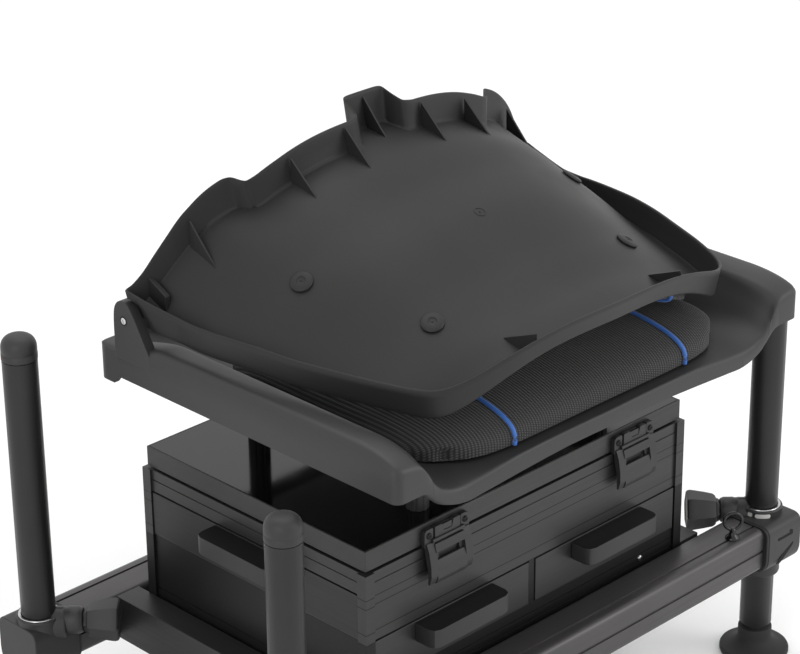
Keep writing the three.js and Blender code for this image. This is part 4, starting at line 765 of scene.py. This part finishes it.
ear_outline = rounded(ear_outline, [1, 14, 9, 7, 9, 16, 6, 1], 9)
ears = [pulled_aside(ear_outline, side, 291.0, 279.8) for side in (-1, 1)]
tray_plastic = moulded("moulded_black_polypropylene_tray", "272727", 0.48, 700.0, 0.45)
piece = make_piece("moulded_seat_tray", [tray_body], "lid", tray_plastic, angle=50)
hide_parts("seat_tray")
piece = make_piece("moulded_seat_tray_ears", ears, "lid", tray_plastic)
round_over(piece, 1.6, 3)


# Four fluted posts of black plastic hold the tray off the lid, and a steel pin goes through each ear.
flutes = lambda angle: 1 - 0.1 * np.clip(np.cos(10 * angle), 0, 1)
for corner, side, leg_y, _ in corners:
    post = revolve([(11.5, 350.3), (11.5, 441), (12.2, 444), (12.2, 449.2)], 120, swell=flutes)
    post = moved(post, side * 132, 30 if leg_y < 0 else 262, 0)
    piece = make_piece(corner + "_fluted_post", [post], "lid", moulded_black)
    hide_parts(corner + "_tray_post")
pin_y, pin_z = 274.6, 524
for name, side in (("left", -1), ("right", 1)):
    pin = revolve([(0.05, 0), (2.9, 0), (3.5, 0.5), (3.5, 33)], 32)
    pin = laid(pin, [2, 0, 1], (-side, 1, 1), (side * 291.7, pin_y, pin_z))
    piece = make_piece(name + "_steel_pin", [pin], "lid", bare_steel)
    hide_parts(name + "_hinge_pin")
    dark_ring = revolve([(3.5, 0), (5, 0), (5, 0.3), (3.5, 0.3)], 40, ring=True)
    dark_ring = laid(dark_ring, [2, 0, 1], (side, 1, 1), (side * 290.9, pin_y, pin_z))
    make_piece(name + "_pin_hole", [dark_ring], "lid", dark_slot)


# Backrest shell: one moulding folded face down over the seat. Its back is a dome 3 mm thick with an
# upstanding rim, a tab in the middle of the hinge end, thin webs behind the rim and two hinge plates.
# Places along it are shares of its 387.6 mm length, counted from the pin forward.

shell_length, shell_half, dome_y = 387.6, 288.0, 79.6
centre_share = [
    (-0.01, 1.07), (0.045, 1.06), (0.12, 1.04), (0.257, 0.955), (0.388, 0.77), (0.521, 0.625),
    (0.706, 0.345), (0.835, 0.205), (0.92, 0.175), (1, 0.165)
]
side_share = [(-0.01, 1), (0.09, 0.62), (0.16, 0.47), (0.45, 0.38), (0.71, 0.14), (0.86, 0), (1, 0)]
width_share = [
    (-0.01, 0.985), (0.16, 0.945), (0.285, 0.942), (0.394, 0.925), (0.535, 0.893), (0.634, 0.848),
    (0.74, 0.8), (0.814, 0.757), (0.858, 0.726), (1, 0.72)
]


def dome_height(x, y):
    """Height of the dome's upper face: the sides' height plus a part of the middle's extra that falls
    with the 2.6th power of the distance from the middle, and more evenly towards the front.
    The corners at the hinge end stand up to 12 mm higher than that rule."""
    t = (pin_y - y) / shell_length
    side = 507 + 21 * through(side_share, t)
    centre = 538.5 + 116 * through(centre_share, t)
    reach = np.minimum(np.abs(x) / (shell_half * through(width_share, t)), 1)
    even = smooth(t, 0.38, 0.56)
    part = (1 - reach**2.6) * (1 - even) + (1 - reach**3) ** 1.55 * even
    away = np.abs(x)
    corner_lift = smooth(away, 150, 215) * (1 - smooth(away, 222, 268)) * (1 - smooth(t, 0.06, 0.36))
    return side + (centre - side) * part + 12 * corner_lift


def blurred(values, spread):
    """A closed run of values smoothed by a bell curve that many steps wide."""
    turns = np.fft.fftfreq(len(values))
    return np.real(np.fft.ifft(np.fft.fft(values) * np.exp(-2 * (np.pi * turns * spread) ** 2)))


# The rim's right half: shares across and along, and how far the wall is from 27 mm high, as a share.
wall_height = 27
rim_share = [
    (0, 0.088, 0.35), (0.07, 0.088, 0.35), (0.092, 0.092, 0.35), (0.1, 0.124, 0.2), (0.113, 0.158, 0.06),
    (0.15, 0.165, 0.04), (0.26, 0.158, 0.04), (0.375, 0.151, 0.05), (0.47, 0.145, 0.06),
    (0.56, 0.135, 0.08), (0.595, 0.128, 0.08), (0.608, 0.112, 0.12), (0.622, 0.09, 0.2),
    (0.645, 0.08, 0.22), (0.69, 0.072, 0.2), (0.765, 0.06, 0.16), (0.846, 0.042, 0.1), (0.895, 0.026, 0.02),
    (0.94, 0.012, -0.1), (0.972, 0.003, -0.1), (1, -0.003, 0.1), (0.985, 0.075, 0.08), (0.965, 0.165, 0),
    (0.962, 0.285, 0), (0.944, 0.394, 0), (0.913, 0.535, 0), (0.868, 0.634, 0), (0.821, 0.74, 0),
    (0.778, 0.814, 0), (0.748, 0.862, 0), (0.715, 0.892, -0.04), (0.66, 0.912, -0.14), (0.57, 0.94, -0.3),
    (0.44, 0.967, -0.42), (0.3, 0.984, -0.48), (0.15, 0.996, -0.48), (0, 1, -0.48)
]
half_rim = np.array(rim_share) * (shell_half, -shell_length, wall_height) + (0, pin_y, wall_height)
rim = np.vstack([half_rim, half_rim[-2:0:-1] * (-1, 1, 1)])
closed_rim = np.vstack([rim, rim[:1]])
walked = np.concatenate([[0], np.cumsum(np.linalg.norm(np.diff(closed_rim[:, :2], axis=0), axis=1))])
mark_count = 1200
marks = np.linspace(0, walked[-1], mark_count + 1)[:-1]
rim = np.stack([np.interp(marks, walked, closed_rim[:, k]) for k in range(3)], -1)
pace = walked[-1] / mark_count
sharp = np.stack([blurred(rim[:, k], 2.2 / pace) for k in range(3)], -1)
soft = np.stack([blurred(rim[:, k], 13 / pace) for k in range(3)], -1)
blend = smooth((pin_y - rim[:, 1:2]) / shell_length, 0.13, 0.3)
rim = sharp * (1 - blend) + soft * blend

out_x, out_y, wall = rim.T
from_middle = np.hypot(out_x, out_y - dome_y)


def drawn(distance):
    """The rim's outline drawn towards the dome's middle by a distance."""
    share = (from_middle - distance) / from_middle
    return out_x * share, dome_y + (out_y - dome_y) * share


edge_height = dome_height(*drawn(6))
dip = 4 * smooth((pin_y - out_y) / shell_length, 0.78, 0.95)
# Rings of the rim: distance in from its outline, share of the wall's height, and an offset.
rim_profile = [
    (9.2, 0, 1.6), (8.7, 0, 4), (7.05, 0.3, 0), (5.4, 0.6, 0), (3.75, 0.9, 0), (3.2, 1, -0.8),
    (2.6, 1, -0.2), (1.5, 1, 0), (0.6, 1, -0.2), (0.1, 1, -0.9), (1.7, 0.7, 0), (3.4, 0.4, 0),
    (4.8, 0.15, 0), (5.8, 0, -1), (6.3, 0, -2.2), (7.5, 0, -3)
]
floor_shares = np.concatenate([np.linspace(0.03, 0.9, 30), np.linspace(0.92, 1, 6)])


def floor_ring(share, thickness):
    """A ring of the dome's floor, at a share of the way out to where the rim stands up."""
    x, y = drawn(13)
    x, y = x * share, dome_y + (y - dome_y) * share
    return stacked(x, y, dome_height(x, y) - thickness - dip * smooth(share, 0.76, 1))


rings = [floor_ring(share, 0) for share in floor_shares]
x, y = drawn(10.5)
rings.append(stacked(x, y, dome_height(x, y) - dip + 0.4))
for distance, share, offset in rim_profile:
    x, y = drawn(distance)
    rings.append(stacked(x, y, edge_height - dip + (wall + dip) * share + offset))
rings += [floor_ring(share, 3) for share in floor_shares[::-2]]
rings = np.array(rings)
ear_line = np.interp(rings[..., 1], [230, 230.6, 255.8, 266.6, 300], [0, 500.5, 540.5, 547, 547])
rings[..., 2] = np.where(np.abs(rings[..., 0]) > 278.3, np.maximum(rings[..., 2], ear_line), rings[..., 2])
count = rings.shape[1]
shell_faces = [grid_quads(len(rings), count, False, True), *end_faces(count, (len(rings) - 1) * count)]
shell_body = rings.reshape(-1, 3), shell_faces
shell_plastic = moulded("moulded_black_polypropylene_shell", "222121", 0.5, 800.0, 0.3)
feed(shell_plastic.node_tree.nodes["Principled BSDF"], {"Specular IOR Level": 0.33})
piece = make_piece("moulded_backrest_shell", [shell_body], "backrest", shell_plastic, angle=60)
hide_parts("backrest_shell")


def web(x, from_y, to_y, high, deep=1.6, bow=1.1):
    """A thin triangular web that stands on the dome and leans against the rim's inner face.
    Deep is how far its foot reaches below the dome's even surface, bow the power of its upper edge."""
    t = np.linspace(0, 1, 7)
    y = from_y + (to_y - from_y) * t
    base = dome_height(x + 0 * y, y)
    foot = stacked(y, base - deep * (1 - 0.8 * t))
    top = stacked(y, base + high * (1 - t) ** bow - 0.4)
    return pulled(np.vstack([foot, top[::-1]]), x - 1, x + 1, 0)


webs = []
for side in (-1, 1):
    for across_share, start_share, high in ((0.185, 0.163, 25), (0.425, 0.149, 25), (0.78, 0.058, 26)):
        start = pin_y - start_share * shell_length
        webs.append(web(side * across_share * shell_half, start - 5.4, start - 42, high))
    start = pin_y - 0.977 * shell_length
    webs.append(web(side * 0.36 * shell_half, start + 6, start + 46, 19, 6, 0.9))
start = pin_y - 0.088 * shell_length
webs.append(web(0, start - 5.4, start - 38, 31))
make_piece("backrest_webs", webs, "backrest", shell_plastic, angle=30)

plate = [
    (240.6, 517.5), (259.6, 516.5), (267.1, 509), (274.6, 509), (283, 513), (286, 524), (283, 540),
    (277, 552), (268, 566), (240.6, 552)
]
plate = rounded(plate, [2, 4, 4, 6, 6, 6, 6, 4, 3, 2], 6)
plates = [pulled_aside(plate, side, 258.8, 264.8) for side in (-1, 1)]
piece = make_piece("backrest_hinge_plates", plates, "backrest", shell_plastic, angle=30)
round_over(piece, 0.8, 2)


# Four rivets of black plastic hold the cushion, and a small ring marks where the mould was filled.


def seated(part, x, y):
    """A part built along z, leaned square to the dome and set on it."""
    at = lambda u, v: float(dome_height(u, v))
    normal = np.array([(at(x - 5, y) - at(x + 5, y)) / 10, (at(x, y - 5) - at(x, y + 5)) / 10, 1])
    normal /= np.linalg.norm(normal)
    first = np.cross([0, 1, 0], normal)
    first /= np.linalg.norm(first)
    basis = np.array([first, np.cross(normal, first), normal])
    return part[0] @ basis + (x, y, at(x, y)), part[1]


for corner, side, leg_y, _ in corners:
    x, y = (side * 139.1, 1.3) if leg_y < 0 else (side * 192.1, 123.8)
    head = [
        (3, -3), (3, 0.5), (11.3, 0.6), (11.6, 1.2), (11.5, 2.1), (10.9, 2.9), (9.6, 3.5), (6.5, 3.9),
        (4.6, 3.95), (4.1, 3.3), (3.4, 3.1), (1.2, 3.1), (0.9, 3.6), (0.05, 3.8)
    ]
    rivet = seated(revolve(head, 72), x, y)
    piece = make_piece(corner + "_push_rivet", [rivet], "backrest", shell_plastic, angle=30)
    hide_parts(corner + "_rivet")
gate = revolve([(5.2, -0.5), (5.4, 0.3), (5.9, 0.5), (6.4, 0.3), (6.6, -0.5)], 64, ring=True)
gate = seated(gate, 0, 72.6)
dot = seated(revolve([(1.2, -0.4), (1.2, 0.4), (0.8, 0.7), (0.05, 0.7)], 24), 0, 72.6)
make_piece("filling_mark", [gate, dot], "backrest", shell_plastic, angle=30)


# Cushions: foam covered in a ribbed charcoal fabric whose ribs run front to back, 3.4 mm apart, with
# two blue piping cords each. A cloth simulation fills the cover out between its seams and edges.


def cushion_plan(u, v, half, y0, y1):
    """Place of a cushion's point: a rectangle whose sides draw in by 5 mm between the corners, and
    whose corners are rounded in by 32 mm times the fifth power of u v."""
    rounding = 32 * np.abs(u * v) ** 5
    x = half * u - np.sign(u) * (5 * (1 - v**2) * np.abs(u) ** 3 + rounding)
    y = (y0 + y1) / 2 + (y1 - y0) / 2 * v - np.sign(v) * (5 * (1 - u**2) * np.abs(v) ** 3 + rounding)
    return x, y


def eased(count):
    """Places from -1 to 1, closer together towards both ends."""
    return np.sin(np.linspace(-np.pi / 2, np.pi / 2, count))


def filled_out(upper, lower, held, cap):
    """Both skins after a cloth simulation with air pressure inside. Held points stay, and no point
    moves further than cap millimetres."""
    points, faces = closed_grids(upper, lower)
    cover = shown_object("cover_cloth", closed_mesh("cover_cloth", points / 1000, faces))
    pins = cover.vertex_groups.new(name="held")
    pins.add(np.flatnonzero(held).tolist(), 1.0, "REPLACE")
    cloth = cover.modifiers.new("cloth", "CLOTH")
    cloth.settings.vertex_group_mass = "held"
    cloth.settings.use_pressure = True
    cloth.settings.uniform_pressure_force = 4.0
    cloth.settings.effector_weights.gravity = 0.0
    cloth.settings.tension_stiffness = 20
    cloth.settings.bending_stiffness = 2
    cloth.collision_settings.use_collision = False
    for step in range(1, 21):
        bpy.context.scene.frame_set(step)
    settled = cover.evaluated_get(bpy.context.evaluated_depsgraph_get()).data
    after = np.empty(len(points) * 3)
    settled.vertices.foreach_get("co", after)
    bpy.data.objects.remove(cover)
    bpy.context.scene.frame_set(1)
    shift = after.reshape(-1, 3) * 1000 - points
    shift *= np.minimum(1, cap / np.maximum(lengths(shift), 1e-6))
    return shift.reshape(2, *upper.shape)


rib_pitch = 3.4
stitch_pitch = 2.7
tree, fabric_shader, ribbed_fabric = principled("ribbed_charcoal_fabric", "2a2a2a", 0.78)
fabric_place = add_node(tree, "TexCoord").outputs["Object"]
split = add_node(tree, "SeparateXYZ", {"Vector": fabric_place}).outputs
rib_angle = add_node(tree, "Math", {0: split["X"], 1: 2000 * np.pi / rib_pitch}, operation="MULTIPLY")
rib_wave = add_node(tree, "Math", {0: rib_angle}, operation="COSINE")
fold = add_node(tree, "Math", {0: split["Y"], 1: split["Z"]}, operation="ADD")
stitch_angle = add_node(tree, "Math", {0: fold, 1: 2000 * np.pi / stitch_pitch}, operation="MULTIPLY")
stagger = add_node(tree, "Math", {0: rib_angle, 1: 0.5, 2: stitch_angle}, operation="MULTIPLY_ADD")
stitch_wave = add_node(tree, "Math", {0: stagger}, operation="SINE")
rib_high = add_node(tree, "MapRange", {"Value": rib_wave, "From Min": -1.0, "From Max": 1.0})
stitch_range = {"From Min": -0.6, "From Max": 0.9, "To Min": 0.2}
stitch_high = add_node(tree, "MapRange", {"Value": stitch_wave, **stitch_range})
weave_height = add_node(tree, "Math", {0: rib_high, 1: stitch_high}, operation="MULTIPLY")
yarn = add_node(tree, "TexNoise", {"Vector": fabric_place, "Scale": 1600.0, "Detail": 3.0})
fibre = add_node(tree, "Math", {0: yarn, 1: 0.25, 2: weave_height}, operation="MULTIPLY_ADD")
# The colour follows the ribs' and stitches' height: the fabric's own charcoal weave tone, with painted
# shade in the low parts between them.
rib_shade_colours = {"Factor": weave_height, "A": linear("0e0e0e"), "B": linear("4e4e4e")}
rib_shade_tint = add_node(tree, "Mix", rib_shade_colours, data_type="RGBA")
fabric_relief = add_node(tree, "Bump", {"Height": fibre, "Strength": 0.8, "Distance": 0.0007})
feed(fabric_shader, {"Base Color": rib_shade_tint, "Normal": fabric_relief})
feed(fabric_shader, {"Sheen Weight": 0.18, "Sheen Roughness": 0.45})

tree, cord_shader, blue_cord = principled("blue_piping", "2a63b5", 0.5)
cord_place = add_node(tree, "TexCoord").outputs["Object"]
thread = add_node(tree, "TexNoise", {"Vector": cord_place, "Scale": 1400.0, "Detail": 2.0})
cord_colours = {"Factor": thread, "A": linear("1d4f9c"), "B": linear("3a74c6")}
cord_tint = add_node(tree, "Mix", cord_colours, data_type="RGBA")
cord_relief = add_node(tree, "Bump", {"Height": thread, "Strength": 0.5, "Distance": 0.0004})
feed(cord_shader, {"Base Color": cord_tint, "Normal": cord_relief, "Sheen Weight": 0.3})


def cushion(name, node, body, half, y0, y1, low, high, edge_share, piping, shown):
    """A ribbed cushion between two skins of given heights. Shown is 1 where its face is the upper skin,
    -1 where it is the lower one. Fullness is one in the middle and falls to nothing at the edge, which
    is 8 mm high and stands at edge_share of the way up."""
    edge = 4

    def skins(u, v, slack):
        """Both skins at a grid of places, with the shown one slack by that many millimetres."""
        u, v = np.meshgrid(u, v)
        x, y = cushion_plan(u, v, half, y0, y1)
        full = np.sqrt(np.maximum(1 - np.abs(u) ** 5, 0)) * np.sqrt(np.maximum(1 - np.abs(v) ** 4, 0))
        floor, roof = low(x, y), high(x, y)
        middle = floor + edge + (roof - floor - 2 * edge) * edge_share
        upper = middle + edge + (roof - middle - edge) * full - (slack * full if shown > 0 else 0)
        lower = middle - edge + (floor - middle + edge) * full + (slack * full if shown < 0 else 0)
        seam = 1.6 * np.exp(-(((np.abs(x) - piping) / 5) ** 2)) * full
        face = upper - seam if shown > 0 else lower + seam
        pair = (face, lower) if shown > 0 else (upper, face)
        return [stacked(x, y, z) for z in pair]

    even_columns = np.arange(0, half - 12, rib_pitch / 4) / half
    half_columns = np.concatenate([even_columns, 1 - np.geomspace(11.5 / half, 0.0015, 14), [1]])
    columns = np.concatenate([-half_columns[:0:-1], half_columns])
    rows = eased(85) * 0.55 + np.linspace(-1, 1, 85) * 0.45
    slack = 5
    upper, lower = skins(columns, rows, slack)
    if slack:
        few_columns = np.sort(np.concatenate([eased(43), [-piping / half, piping / half]]))
        few_rows = eased(33)
        coarse = skins(few_columns, few_rows, slack)
        seams = np.zeros(coarse[0].shape[:2], bool)
        seams[[0, -1]] = True
        seams[:, [0, -1]] = True
        seams |= np.abs(np.abs(few_columns) * half - piping) < 0.5
        flat = np.ones_like(seams)
        pinned = [seams, flat] if shown > 0 else [flat, seams]
        shift = filled_out(*coarse, np.ravel(pinned), 7)
        over = curve(few_columns, np.eye(len(few_columns)), columns)
        along_rows = curve(few_rows, np.eye(len(few_rows)), rows)
        upper = upper + np.einsum("rk,kmd,cm->rcd", along_rows, shift[0], over)
        lower = lower + np.einsum("rk,kmd,cm->rcd", along_rows, shift[1], over)
    face = upper if shown > 0 else lower
    rib_fade = np.exp(-((face[..., 0] / (half - 2)) ** 40))
    face[..., 2] += 0.35 * np.cos(2 * np.pi * face[..., 0] / rib_pitch) * rib_fade
    piece = make_piece(name, [closed_grids(upper, lower)], body, ribbed_fabric, 60)
    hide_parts(node)
    for side_name, side in (("left", -1), ("right", 1)):
        column = np.argmin(np.abs(columns - side * piping / half))
        path = face[:, column].copy()
        path[:, 0] = side * piping - side * 5 * (1 - rows**2) * (piping / half) ** 3
        path = np.vstack([path[:1] - (0, 0, shown * 8), path, path[-1:] - (0, 0, shown * 8)])
        slope = np.gradient(path[:, 1:], axis=0)
        slope /= lengths(slope)
        path[:, 1:] += 1.5 * shown * slope[:, ::-1] * (-1, 1)
        run = np.linspace(0, len(path) - 1, 160)
        path = np.stack([np.interp(run, np.arange(len(path)), path[:, k]) for k in range(3)], -1)
        cord = tube_along(path, 2.3, 14)
        make_piece(name + "_" + side_name + "_piping", [cord], body, blue_cord, 60)


seat_foot = 454.8
seat_low = lambda x, y: seat_foot + 0 * x
seat_high = lambda x, y: seat_foot + 48 * (1 - 0.08 * ((x / 223) ** 2 + ((y - 82) / 170) ** 2))
cushion("padded_seat_cushion", "seat_cushion", "lid", 223, -95, 252, seat_low, seat_high, 0.08, 124, 1)
back_high = lambda x, y: dome_height(x, y) - 5.4
back_low = lambda x, y: dome_height(x, y) - 39.4 + 8 * smooth(-y, 20, 84)
cushion(
    "padded_backrest_cushion", "backrest_cushion", "backrest", 190, -84, 196, back_low, back_high, 0.85,
    112, -1
)
